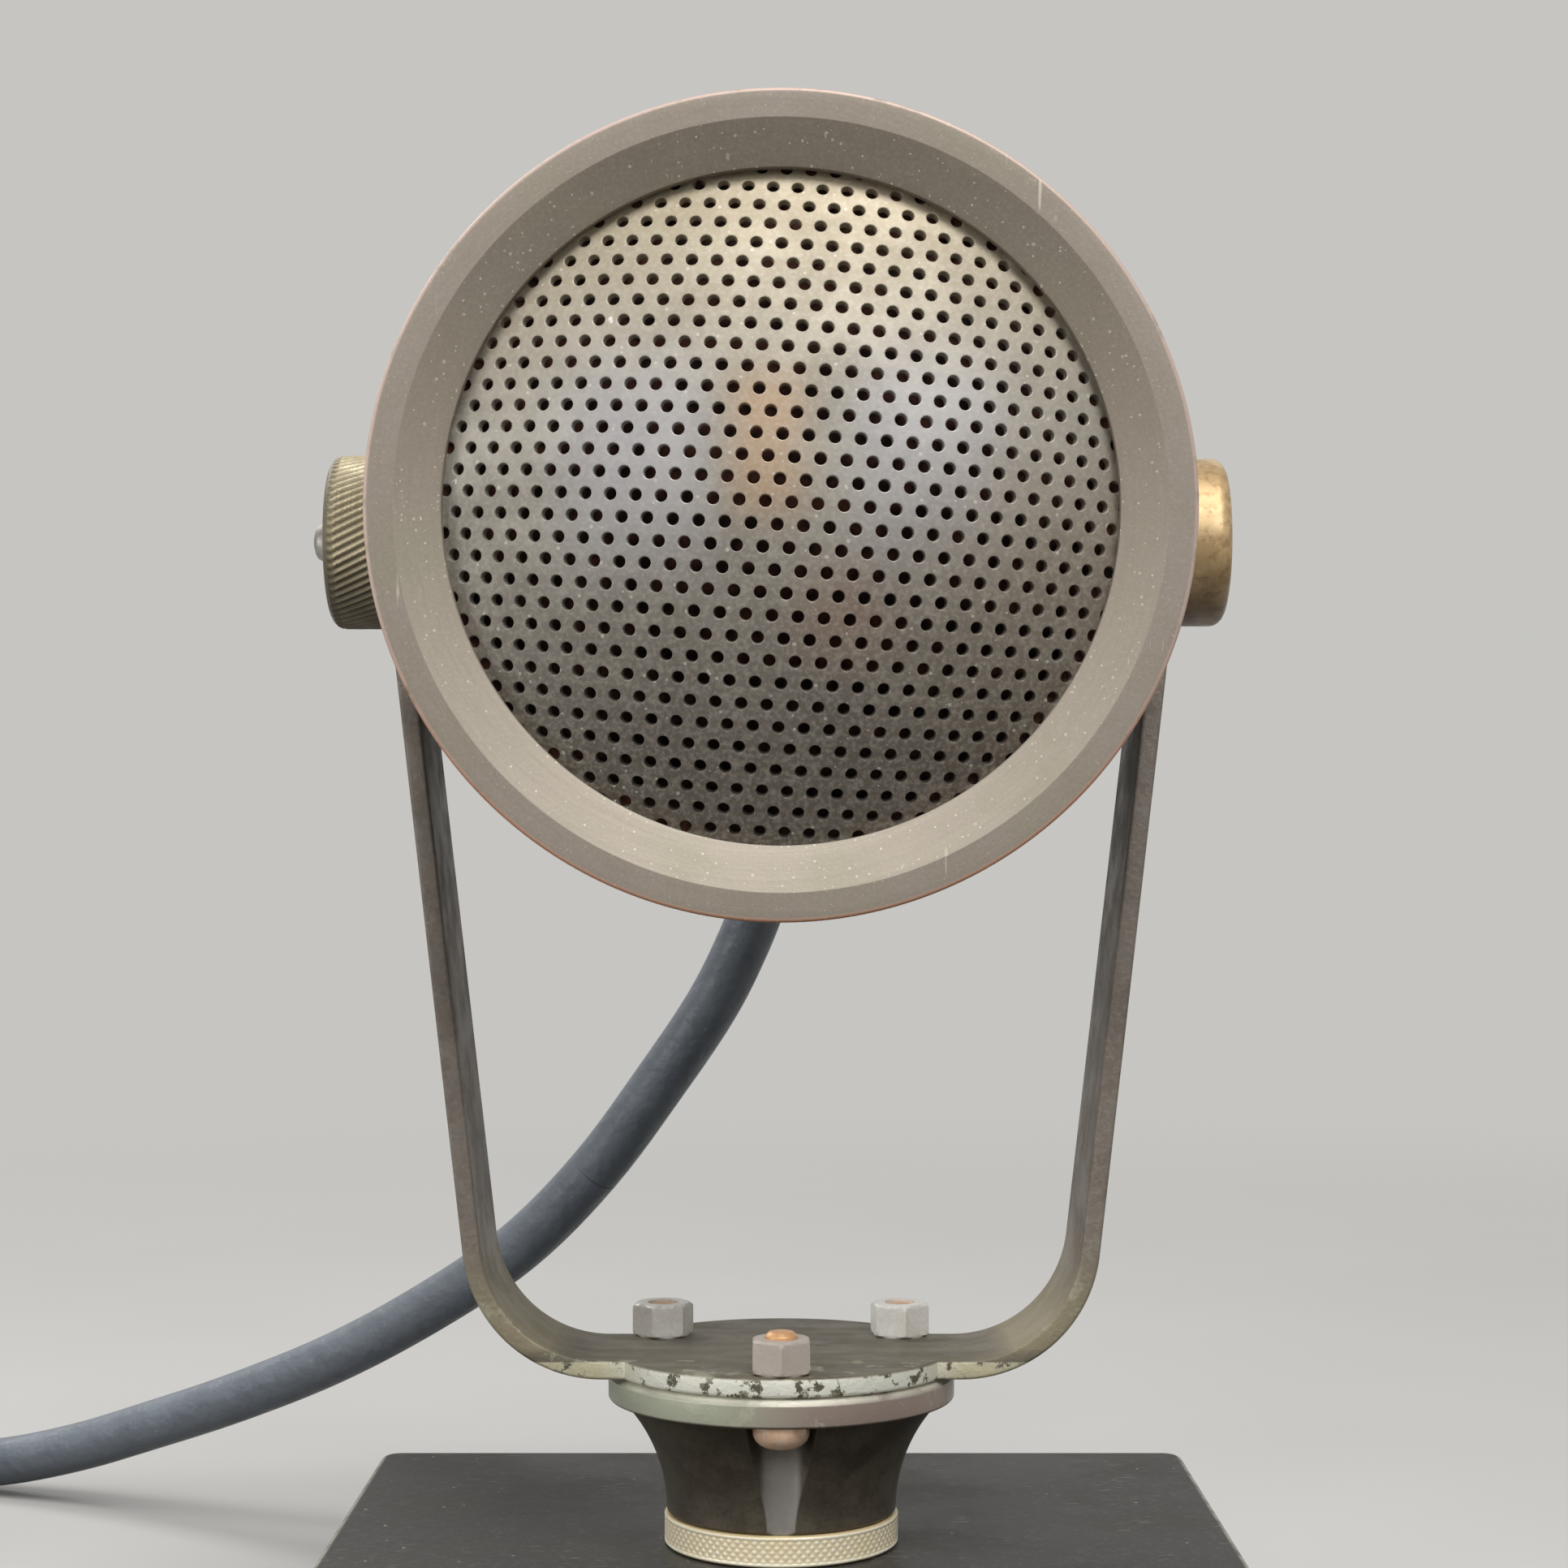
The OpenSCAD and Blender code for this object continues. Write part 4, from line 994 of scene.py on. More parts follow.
def turned_bronze(s):
    """Turned bronze of the front ring: dull brown-grey with fine rings from the tool, hairline scratches and
    pale dust of mixed size. Along its outer front edge a painted highlight makes a pale pinkish line that
    turns coppery low down, and its bevel has painted shade on its upper half and a painted highlight on its
    lower half."""
    material, tree, shader = finish("turned_dark_bronze", Metallic=0.35)
    middle = (0, 0, s.pivot_z)
    spot = place(tree)
    radius = distance_from_axis(tree, middle)
    rings = turning_marks(tree, spot, radius, 0.25)
    lines = add(tree, "MapRange", {0: rings, 1: 0.42, 2: 0.62})
    mottle = cloud(tree, spot, 12, 0.34, 0.68, detail=7, roughness=0.7)
    grain = cloud(tree, spot, 0.45, 0.4, 0.7, detail=3)
    parts = coordinates(tree, middle)
    front = add(tree, "MapRange", {0: parts["Y"], 1: -44.9, 2: -45.6})
    outside = add(tree, "MapRange", {0: radius, 1: 46.95, 2: 47.35})
    low = add(tree, "MapRange", {0: parts["Z"], 1: -12, 2: -34})
    bevel = add(tree, "MapRange", {0: radius, 1: 44.2, 2: 44})
    # upper and lower halves, for the bevel's painted shade and painted highlight
    upper = add(tree, "MapRange", {0: parts["Z"], 1: 0, 2: 40})
    lower = add(tree, "MapRange", {0: parts["Z"], 1: 0, 2: -40})
    scratches = cloud(tree, place(tree, middle, (1, 1, 0.08)), 0.6, 0.7, 0.76, detail=1)
    base = layered(
        tree,
        s.bronze,
        ("#8a8071", 0.45, mottle),
        ("#978d7e", 0.6, bevel),
        # painted shade on the bevel's upper half and a painted highlight on its lower half
        ("#645a4e", 0.5, bevel, upper),
        ("#b3aa9b", 0.5, bevel, lower),
        ("#8b8a70", 0.3, cloud(tree, spot, 16, 0.5, 0.65)),
        ("#6f675d", 0.08, lines),
        ("#bdb3a5", 0.12, grain),
        # painted highlight along the outer front edge: a pale pinkish line, coppery low down
        (s.edge_highlight, 0.8, front, outside, cloud(tree, spot, 4, 0.25, 0.45)),
        ("#b8794f", 0.8, front, outside, low),
        ("#ddd4c2", 0.5, scratches, cloud(tree, spot, 18, 0.55, 0.65)),
        ("#d8d0bf", 0.4, dust(tree, spot, 1.1, 0.45)),
        ("#e8e0d0", 0.5, dust(tree, spot, 0.7, 0.5)),
    )
    dressed(tree, shader, base, rings, 0.48, 0.62, grain, 0.006)
    return material


def grille_bronze(s):
    """Oxidised sheet of the grille: speckled grey bronze with a soft gloss and small white flecks. Light is
    painted
    on it: a yellower upper part, bluish painted highlights at mid height on both sides of a reddish painted
    reflection in a band down the middle, and painted shade that darkens the lower part."""
    material, tree, shader = finish("oxidised_perforated_sheet", Metallic=0.3)
    spot = place(tree)
    parts = coordinates(tree, (0, 0, s.pivot_z))
    mottle = cloud(tree, spot, 9, 0.36, 0.66, detail=6)
    grain = cloud(tree, spot, 0.6, 0.4, 0.7, detail=4)
    # the upper part, where light is painted
    top = add(tree, "MapRange", {0: parts["Z"], 1: 8, 2: 34})
    # the lower part, where shade is painted
    painted_shade_low = add(tree, "MapRange", {0: parts["Z"], 1: 6, 2: -28})
    away = add(tree, "Math", {0: parts["X"]}, operation="ABSOLUTE")
    beside = add(tree, "Math", {0: parts["X"], 1: 1.5}, operation="ADD")
    beside = add(tree, "Math", {0: beside}, operation="ABSOLUTE")
    band = add(tree, "MapRange", {0: beside, 1: 7.5, 2: 0.5}, interpolation_type="SMOOTHSTEP")
    blotch = distance_from_axis(tree, (6.5, 0, s.pivot_z - 13))
    blotch = add(tree, "MapRange", {0: blotch, 1: 9, 2: 1}, interpolation_type="SMOOTHSTEP")
    above = add(tree, "MapRange", {0: parts["Z"], 1: 18, 2: 10}, interpolation_type="SMOOTHSTEP")
    under = add(tree, "MapRange", {0: parts["Z"], 1: -6, 2: 3}, interpolation_type="SMOOTHSTEP")
    right = add(tree, "MapRange", {0: parts["X"], 1: 4, 2: 26}, interpolation_type="SMOOTHSTEP")
    under_middle = add(tree, "MapRange", {0: parts["Z"], 1: 12, 2: -4})
    # places of the bluish painted highlights at mid height on both sides of the middle
    painted_sheen = [
        add(tree, "MapRange", {0: distance, 1: start, 2: end}, interpolation_type="SMOOTHSTEP")
        for distance, start, end in (
            (away, 4, 13),
            (away, 30, 19),
            (parts["Z"], 24, 11),
            (parts["Z"], -14, 1),
        )
    ]
    base = layered(
        tree,
        s.grille_colour,
        ("#827c72", 0.6, mottle),
        # bluish painted highlights at mid height on both sides
        ("#bfc0cb", 0.36, *painted_sheen),
        # painted light: the upper part yellower
        ("#a5977c", 0.8, top),
        ("#8f7d66", 0.4, right, under_middle),
        # painted shade that darkens the lower part
        ("#494037", 0.82, painted_shade_low),
        # painted warm reflection in a band down the upper middle
        ("#b8946f", 0.6, band, above, under, cloud(tree, spot, 9, 0.15, 0.5)),
        # a reddish-brown patch below and right of the middle
        ("#7d5a45", 0.4, blotch),
        ("#c9c2b4", 0.25, grain),
        ("#dcd6c8", 0.45, dust(tree, spot, 1.2, 0.35)),
        ("#e9e6dd", 0.8, flakes(tree, spot, 3, 0.68, 0.71)),
    )
    dressed(tree, shader, base, mottle, 0.46, 0.56, grain, 0.008)
    return material


def fine_gauze():
    """Fine woven screen, reddish black: threads that are finer than the render can show are drawn 0.5 mm
    apart, as the darker and lighter squares that they leave."""
    material, tree, shader = finish("fine_black_gauze")
    spot = place(tree)
    scale = {"Vector": spot, "Scale": 100.0}
    threads = [add(tree, "TexWave", scale, 1, bands_direction=d) for d in ("X", "Z")]
    weave = add(tree, "Math", {0: threads[0], 1: threads[1]}, operation="MAXIMUM")
    dark = cloud(tree, spot, 4, 0.4, 0.6)
    base = layered(tree, linear("#2e1f1b"), ("#94604f", 0.8, weave), ("#0e0d0d", 0.8, dark))
    dressed(tree, shader, base, weave, 0.8, 0.9, weave, 0.08)
    return material


def case_enamel():
    """Smooth black enamel on the case: glossy, with faint orange peel and a little dust."""
    material, tree, shader = finish("smooth_black_enamel", Coat_Weight=0.5, Coat_Roughness=0.12)
    spot = place(tree)
    haze = cloud(tree, spot, 16, 0.38, 0.7, detail=6)
    peel = cloud(tree, spot, 1.4, 0.3, 0.7, detail=2)
    specks = dust(tree, spot, 1.4, 0.05)
    base = layered(tree, linear("#1a1a1a"), ("#2a2824", 1.0, haze), ("#9b978d", 0.45, specks))
    dressed(tree, shader, base, haze, 0.28, 0.42, peel, 0.005)
    return material


def plain_metal(name, light, dark, roughness, patch=4.0):
    """Turned bare metal: even, with darker stains and faint tool marks."""
    material, tree, shader = finish(name, Metallic=1.0)
    spot = place(tree)
    blotch = cloud(tree, spot, patch, 0.4, 0.66, detail=6)
    marks = cloud(tree, place(tree, stretch=(1, 1, 12)), 1.6, 0.35, 0.65, detail=2)
    base = layered(tree, linear(light), (dark, 0.9, blotch), (dark, 0.2, marks))
    dressed(tree, shader, base, blotch, roughness, roughness + 0.17, marks, 0.008)
    return material


def plain_fibre(name, light, dark, grain):
    """Soft fibre of a hidden piece: matt, with a grain."""
    material, tree, shader = finish(name)
    nap = cloud(tree, place(tree), grain, 0.3, 0.7, detail=5)
    dressed(tree, shader, layered(tree, linear(light), (dark, 1.0, nap)), nap, 0.8, 0.92, nap, 0.1)
    return material


def all_finishes(s):
    """Every finish by the name of the record's material slot."""
    return {
        "black_enamel": black_enamel(s),
        "felt": pressed_felt(),
        "steel": plain_metal("turned_steel", "#a5a19a", "#78746d", 0.35),
        "black_rubber": extruded_rubber(s),
        "nickel": plated_nickel(s),
        "insulation": laminated_board(),
        "polished_brass": polished_brass(s),
        "black_patina": blackened_brass(s),
        "bronze_patina": patinated_bronze(s),
        "copper_bolt": copper_bolt(s),
        "knurled_bronze": knurled_bronze(s),
        "worn_brass": rubbed_brass(s),
        "screw_steel": plain_metal("dull_screw_steel", "#aaa7a2", "#7b7771", 0.36),
        "turned_bronze": turned_bronze(s),
        "grille_bronze": grille_bronze(s),
        "gauze": fine_gauze(),
        "black_case": case_enamel(),
        "magnet_steel": plain_metal("machined_magnet_steel", "#777c80", "#55595d", 0.38),
        "pad": plain_fibre("damping_felt", "#7a6850", "#55472f", 0.8),
        "foil": plain_metal("thin_aluminium_sheet", "#d4d6d9", "#b3b6ba", 0.25),
        "copper_wire": plain_metal("enamelled_copper_wire", "#c07a45", "#8d5226", 0.3, 1.0),
        "wire_sleeve": plain_fibre("red_cotton_sleeve", "#8f2f26", "#6b2019", 0.5),
        "gland_brass": plain_metal("dull_brass", "#a98f58", "#7d683c", 0.32),
    }


def finish_of(slot):
    """The finish that was made for a slot of the record."""
    name = bpy.context.scene["mic_finishes"][slot]
    return bpy.data.materials[name]


# Operators


class MIC_OT_finishes(bpy.types.Operator):
    """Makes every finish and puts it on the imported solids"""

    bl_idname = "mic.finishes"
    bl_label = "Finishes"

    def execute(self, context):
        finishes = all_finishes(sizes(context))
        context.scene["mic_finishes"] = {slot: material.name for slot, material in finishes.items()}
        for row in RECORD["subparts"]:
            mesh = NODES[row["node"]].data
            mesh.materials.clear()
            mesh.materials.append(finishes[row["material_slot"]])
        return {"FINISHED"}


class MIC_OT_stage(bpy.types.Operator):
    """Makes the camera, the lights, the pale floor and the world"""

    bl_idname = "mic.stage"
    bl_label = "Stage"

    def lamp(self, name, spot, aim, size, watts):
        """A square light at a spot, facing another, in metres."""
        data = bpy.data.lights.new(name, "AREA")
        data.size = size
        data.energy = watts
        lamp = linked(name, data)
        lamp.location = spot
        facing = np.array(aim, float) - np.array(spot, float)
        flat = math.hypot(facing[0], facing[1])
        lamp.rotation_euler = (math.atan2(flat, -facing[2]), 0, math.atan2(-facing[0], facing[1]))

    def seen(self, tree):
        """1 for rays from the camera, in a reflection or through glass, and 0 for light that scatters."""
        path = add(tree, "LightPath").node.outputs
        shown = add(tree, "Math", {0: path["Is Camera Ray"], 1: path["Is Glossy Ray"]}, operation="MAXIMUM")
        return add(tree, "Math", {0: shown, 1: path["Is Transmission Ray"]}, operation="MAXIMUM")

    def execute(self, context):
        scene = context.scene
        s = in_millimetres(scene.mic_stage)
        data = bpy.data.cameras.new("front_camera")
        data.sensor_width = 36
        data.lens = s.focal
        data.clip_start = 0.01
        camera = linked("front_camera", data)
        camera.location = (s.camera_side * MM, -s.camera_distance * MM, s.camera_height * MM)
        camera.rotation_euler = Euler((math.pi / 2 + s.camera_pitch, 0, 0))
        scene.camera = camera

        # a painted studio floor: even and matt, pale to the camera and in reflections, and fading with
        # distance into the colour of the backdrop
        material, tree, shader = finish("pale_studio_floor", Roughness=0.9, Specular_IOR_Level=0.0)
        away = distance_from_axis(tree, (0, 0, 0), (1, 1, 0))
        far = add(tree, "MapRange", {0: away, 1: 100, 2: 900}, interpolation_type="SMOOTHSTEP")
        unseen = add(tree, "Math", {0: 1.0, 1: self.seen(tree)}, operation="SUBTRACT")
        soft = cloud(tree, place(tree), 180, 0.3, 0.7, detail=2)
        base = layered(tree, s.floor, ("#c3c1bd", 0.4, soft), ("#404040", 1.0, unseen), ("#000000", 1.0, far))
        tree.links.new(base, shader.inputs["Base Color"])
        glow = add(tree, "MapRange", {0: self.seen(tree), 3: 0.35, 4: 1.0})
        glow = add(tree, "Math", {0: glow, 1: far}, operation="MULTIPLY")
        tree.links.new(glow, shader.inputs["Emission Strength"])
        shader.inputs["Emission Color"].default_value = s.backdrop
        side = np.linspace(-6000, 6000, 13)
        x, y = np.meshgrid(side, side, indexing="ij")
        points = np.stack([x, y, 0 * x], axis=-1).reshape(-1, 3)
        mesh = bpy.data.meshes.new("studio_floor")
        mesh.from_pydata((points * MM).tolist(), [], grid_faces(13, 13, wrap_cols=False)[:, ::-1].tolist())
        mesh.materials.append(material)
        linked("studio_floor", mesh)

        head = (0, -0.04, 0.158)
        self.lamp("key_light", (0.273, -0.975, 1.672), head, 1.0, s.key_power)
        self.lamp("left_light", (-0.6, -0.93, 0.68), head, 0.35, s.side_power)
        self.lamp("right_light", (0.46, -1.03, 0.63), head, 0.35, s.side_power)
        self.lamp("back_light", (-0.7, 0.6, 0.9), head, 0.5, s.back_power)
        self.lamp("low_light", (-0.75, -0.35, 0.25), (-0.01, 0.03, 0.06), 0.4, s.low_power)

        world = bpy.data.worlds.new("plain_studio")
        world.use_nodes = True
        scene.world = world
        tree = world.node_tree
        background = tree.nodes["Background"]
        sky = layered(tree, linear("#6a6c6e"), (s.backdrop, 1.0, self.seen(tree)))
        tree.links.new(sky, background.inputs["Color"])
        scene.view_settings.view_transform = "Standard"
        return {"FINISHED"}


def coil_route(s):
    """Centreline of the coil: radius and height are functions of the turns wound.

    It winds in on the table, dips in and climbs a layer in the half turn round the climb, and winds out
    again on top.
    """
    wound, climb, steps = 5.25, 3, 48
    x, y, low, dip = -206, 112, 4.3, 1.4
    turns = np.arange(0, wound * steps + 1) / steps
    away = np.abs(turns - climb)
    climbing = s.coil_radius - dip * np.cos(2 * np.pi * away)
    r = np.where(away < 0.25, climbing, s.coil_radius + s.coil_pitch * (away - 0.25))
    z = low + s.coil_pitch * np.clip(2 * (turns - climb) + 0.5, 0, 1)
    a = np.pi / 2 + 2 * np.pi * turns
    return np.stack([x + r * np.cos(a), y + r * np.sin(a), z], axis=1)


class MIC_OT_cable(bpy.types.Operator):
    """Lays the rubber cable from the head down to the table, into its coil and on to its connector"""

    bl_idname = "mic.cable"
    bl_label = "Cable"

    def execute(self, context):
        s = sizes(context)
        origin, along, _, _ = s.axes["gland"]
        start = origin + SLEEVE_END * along
        thick = s.diameter
        coil = coil_route(s)
        # the route of the solids' cable: down from the head, on to the coil, and from it to the connector
        down = [start, start + thick * along, (-2.5, 80, 112.5), (-6, 82.5, 103.5), (-11, 85, 93.5)]
        down += [(-19, 88.5, 81.5), (-30, 93.5, 66.5)]
        on = [(-30, 93.5, 66.5), (-43, 100.5, 53), (-59, 109.5, 41.5), (-76, 119, 31.5), (-94, 129.5, 23)]
        on += [(-111, 140, 16), (-127, 149, 10), (-143, 156.5, 5.8), (-158, 162.5, 4.4), (-171, 167.5, 4.3)]
        on += [(-184, 171.5, 4.3), coil[0] + [thick, 0, 0]]
        tail = [coil[-1] - [0, thick, 0], (-262, 90, 13.2), (-263, 77, 11.5), (-259.5, 63, 9.3)]
        tail += [(-252, 51, 7.8), (-241, 41.5, 7.5), (-228, 35, 8), (-214, 31.5, 9), (-203, 30.5, 9.5)]
        whole = route_line([*down, *on[1:]])
        split = int(np.argmin(np.linalg.norm(whole - np.array(on[0], float), axis=1)))
        upper = whole[: split + 1]
        lower = np.concatenate([whole[split:], coil, route_line(tail)])
        nodes = ["cable_run", "cable_coil", "cable_tail"]
        top = made("cable_from_head", tube_shape(upper, thick / 2), "black_rubber", replaces=nodes[:1])
        rest = made("cable_to_connector", tube_shape(lower, thick / 2), "black_rubber", replaces=nodes)
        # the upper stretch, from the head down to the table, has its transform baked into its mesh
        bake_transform(top)
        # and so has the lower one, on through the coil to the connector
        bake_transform(rest)
        return {"FINISHED"}


class MIC_OT_connector(bpy.types.Operator):
    """Makes the sleeve, the shell and the knurled coupling ring of the connector"""

    bl_idname = "mic.connector"
    bl_label = "Connector"

    def execute(self, context):
        s = sizes(context)
        axis = s.axes["plug"]
        # distances along the connector's axis: the sleeve's tip, and the shell's back and face
        tip, back, face = -203, -186, -144
        cable, r, ring = s.diameter / 2, s.shell_diameter / 2, s.coupling_diameter / 2
        ribs = [(0, tip), (cable + 0.5, tip, 0.4)]
        for k in range(4):
            x = tip + 3 + 3 * k
            out = cable + 0.7 + 0.55 * k
            ribs += [(out, x, 0.3), (out, x + 1.6, 0.3), (out - 0.5, x + 1.7, 0.2), (out - 0.4, x + 2.7, 0.2)]
        ribs += [(7, back - 2, 0.4), (7, back), (0, back)]
        made("connector_sleeve", revolved(axis, ribs, 64), "black_rubber", "base", ["plug_sleeve"])
        shell = [(0, back), (r - 1, back, 0.3), (r, back + 1, 0.4), (r, back + 8, 0.2)]
        shell += [(r - 0.5, back + 8.4, 0.2), (r - 0.5, back + 9.4, 0.2), (r, back + 9.8, 0.2)]
        shell += [(r, face, 0.3), (r - 1.3, face, 0.3)]
        shell += [(r - 1.3, face - 10), (0, face - 10)]
        made("connector_shell", revolved(axis, shell, 96), "nickel", "base", ["plug_body"])
        bore = r + PLAY / 2
        teeth, low, high = 66, face - 14, face + 8
        relief = knurl(teeth, 0.3, low + 1.5, high - 2, ring, helix=0.1, crossed=True)
        band = [(bore, low), (ring, low, 0.5, 72), (ring, high, 0.5), (bore, high)]
        shape = revolved(axis, band, teeth * 8, relief, closed=True)
        made("coupling_ring", shape, "nickel", "plug_ring", ["plug_ring"])
        return {"FINISHED"}


class MIC_OT_block(bpy.types.Operator):
    """Makes the black block with its rounded edges"""

    bl_idname = "mic.block"
    bl_label = "Block"

    def execute(self, context):
        s = sizes(context)
        made("stand_block", block_shape(s), "black_enamel", "base", ["base_block"])
        return {"FINISHED"}


class MIC_OT_socket(bpy.types.Operator):
    """Makes the flared socket and the knurled lock ring under it"""

    bl_idname = "mic.socket"
    bl_label = "Socket and lock ring"

    def execute(self, context):
        s = sizes(context)
        made("swivel_socket", socket_shape(s), "black_patina", "yoke", ["flared_socket"])
        low = s.block_top + PLAY
        high = low + s.lock_ring_height
        r, bore, teeth = s.lock_ring_diameter / 2, s.stud_diameter / 2 + PLAY / 2, 84
        corners = [(bore, low), (r, low, 0.4, 30), (r, high, 0.4), (bore, high)]
        relief = knurl(teeth, 0.13, low + 0.35, high - 0.35, r, helix=1 / r, crossed=True)
        shape = revolved(s.axes["upright"], corners, teeth * 8, relief, closed=True)
        made("knurled_lock_ring", shape, "polished_brass", "lock_ring", ["lock_ring"])
        return {"FINISHED"}


class MIC_OT_yoke(bpy.types.Operator):
    """Makes the bent strap with its pad and eyes, and the bolts and nuts that hold it"""

    bl_idname = "mic.yoke"
    bl_label = "Yoke"

    def execute(self, context):
        s = sizes(context)
        made("bent_strap", strap_shape(s), "bronze_patina", "yoke", ["yoke_strap"])
        upright = s.axes["upright"]
        low = s.flange_low_z - 3
        r, head = s.bolt_diameter / 2, s.bolt_head / 2
        nut_top = s.pad_top_z + s.nut_height
        bore, corner = r + 0.02, s.nut_flats * 0.58
        nut = [(bore, s.pad_top_z), (corner, s.pad_top_z, 0, 16), (corner, nut_top, 0, 1), (bore, nut_top)]
        nut = revolved(upright, nut, 96, hexagon_relief(s.nut_flats, s.pad_top_z, nut_top), closed=True)
        bolts, nuts = [], []
        # where each bolt stands, how far its nut is turned, and how far it stands out of the nut
        for place_angle, turn, proud in ((-90, 1, 0.8), (30, 9, -0.3), (150, -18, -0.3)):
            top = nut_top + proud
            bolt = [(0, low), (head, low, 2.2), (head, s.flange_low_z), (r, s.flange_low_z)]
            bolt = revolved(upright, [*bolt, (r, top - 0.5, 0.3), (r - 0.5, top, 0.2), (0, top)], 64)
            a, t = math.radians(place_angle), math.radians(place_angle + turn)
            spot = np.array([math.cos(a), math.sin(a), 0]) * s.bolt_circle / 2
            bolts.append(moved(bolt, spot))
            spin = np.array([[math.cos(t), math.sin(t), 0], [-math.sin(t), math.cos(t), 0], [0, 0, 1]])
            nuts.append((nut[0] @ spin + spot, nut[1]))
        made("copper_bolts", joined(bolts), "copper_bolt", "yoke", ["yoke_bolts"])
        made("hexagon_nuts", joined(nuts), "nickel", "yoke", ["yoke_nuts"])
        return {"FINISHED"}


class MIC_OT_knobs(bpy.types.Operator):
    """Makes the knurled left knob, the smooth right knob and the ends of the pivot screws"""

    bl_idname = "mic.knobs"
    bl_label = "Knobs"

    def execute(self, context):
        s = sizes(context)
        back = s.eye_out + 2 * PLAY
        bore = s.pivot_diameter / 2 + PLAY / 2
        # a low hub keeps the knob off the strap, and a shallow recess surrounds the screw
        hub, off, recess, sunk = 7, 1, 4.9, 0.35

        def knob(r, face, rows):
            return [
                (bore, back),
                (hub, back, 0.2),
                (hub, back + off, 0.1),
                (r, back + off, 0.5, rows),
                (r, face, s.knob_edge, 1),
                (recess + 0.5, face, 0.3),
                (recess, face - sunk, 0.2),
                (bore, face - sunk),
            ]

        r, face, teeth = s.left_knob_diameter / 2, s.left_knob_reach, 64
        relief = knurl(teeth, 0.34, back + 1.6, face - s.knob_edge + 0.9, r - 0.25, helix=0.51 / r)
        shape = revolved(s.axes["left"], knob(r, face, 30), teeth * 8, relief, closed=True)
        made("knurled_left_knob", shape, "knurled_bronze", "left_knob", ["left_knob"])
        r, face = s.right_knob_diameter / 2, s.right_knob_reach
        shape = revolved(s.axes["right"], knob(r, face, 4), 128, closed=True)
        made("smooth_right_knob", shape, "worn_brass", "right_knob", ["right_knob"])
        r = s.pivot_diameter / 2
        start = s.eye_out - s.strap_thickness - 6.7
        tips = (("left", s.left_knob_reach + 2.5, 0.9), ("right", s.right_knob_reach - 1, 0.2))
        for side, tip, dome in tips:
            small, foot = r - 0.7, tip - dome
            end = [(0, start), (r, start, 0.3), (r, foot - 1, 0.3), (small, foot, 0.4)]
            end += [(small * math.cos(a), foot + dome * math.sin(a)) for a in np.radians([25, 45, 65])]
            shape = revolved(s.axes[side], [*end, (0, tip)], 64)
            name = f"{side}_pivot_screw"
            made(f"{side}_screw_end", shape, "screw_steel", "head", [name])
        return {"FINISHED"}


class MIC_OT_front_ring(bpy.types.Operator):
    """Makes the turned front ring with its fine knurl and its bevel"""

    bl_idname = "mic.front_ring"
    bl_label = "Front ring"

    def execute(self, context):
        s = sizes(context)
        r, spigot = s.ring_diameter / 2, 43.05
        corners = [
            (s.land_diameter / 2, s.ring_front, 0.15, 3),
            (r, s.ring_front, 0.45, 16),
            (r, s.ring_back, 0.6),
            (spigot, s.ring_back, 0.2),
            (spigot, s.lip_back),
            (s.opening_diameter / 2, s.lip_back, 0.1),
            (s.opening_diameter / 2, s.lip_front, 0.2, 4),
        ]
        relief = knurl(s.knurl_teeth, 0.28, s.ring_front + 0.25, s.ring_back - 0.5, r)
        shape = revolved(s.axes["head"], corners, s.knurl_teeth * 6, relief, closed=True)
        made("turned_front_ring", shape, "turned_bronze", "front_ring", ["front_ring"], 42)
        return {"FINISHED"}


class MIC_OT_grille(bpy.types.Operator):
    """Makes the domed perforated grille"""

    bl_idname = "mic.grille"
    bl_label = "Grille"

    def execute(self, context):
        s = sizes(context)
        made("perforated_dome", grille_shape(s), "grille_bronze", "head", ["grille"], 18)
        return {"FINISHED"}


class MIC_OT_gland(bpy.types.Operator):
    """Makes the gland's knurled nut and the tapered sleeve of the cable"""

    bl_idname = "mic.gland"
    bl_label = "Gland and sleeve"

    def execute(self, context):
        s = sizes(context)
        axis = s.axes["gland"]
        # radii, distances along the gland's axis, and the nut's teeth
        nut, lip = 9.5, 5.3
        low, high, shoulder, teeth = 9.8, 16.8, 14.7, 60
        corners = [(GLAND_THREAD, low), (nut, low, 0.5, 18), (nut, high, 0.6), (lip, high, 0.2)]
        corners += [(lip, shoulder), (GLAND_THREAD, shoulder)]
        relief = knurl(teeth, 0.35, low + 0.5, high - 0.6, nut)
        shape = revolved(axis, corners, teeth * 8, relief, closed=True)
        made("knurled_gland_nut", shape, "gland_brass", "gland_nut", ["gland_nut"])
        cable = s.diameter / 2
        sleeve = [(0, 14.5), (5.2, 14.5), (5.2, 17.1), (7, 17.1, 0.4), (7, 19.1, 0.5)]
        for k in range(5):
            h = 21 + 3 * k
            out = 6.75 - 0.38 * k
            sleeve += [(out, h - 0.9, 0.2), (out - 0.55, h - 0.6, 0.2)]
            sleeve += [(out - 0.6, h + 0.3, 0.2), (out - 0.1, h + 0.6, 0.2)]
        sleeve += [(cable + 0.6, SLEEVE_END, 0.4), (0, SLEEVE_END)]
        shape = revolved(axis, sleeve, 72)
        made("tapered_cable_sleeve", shape, "black_rubber", "head", ["cable_sleeve"])
        return {"FINISHED"}


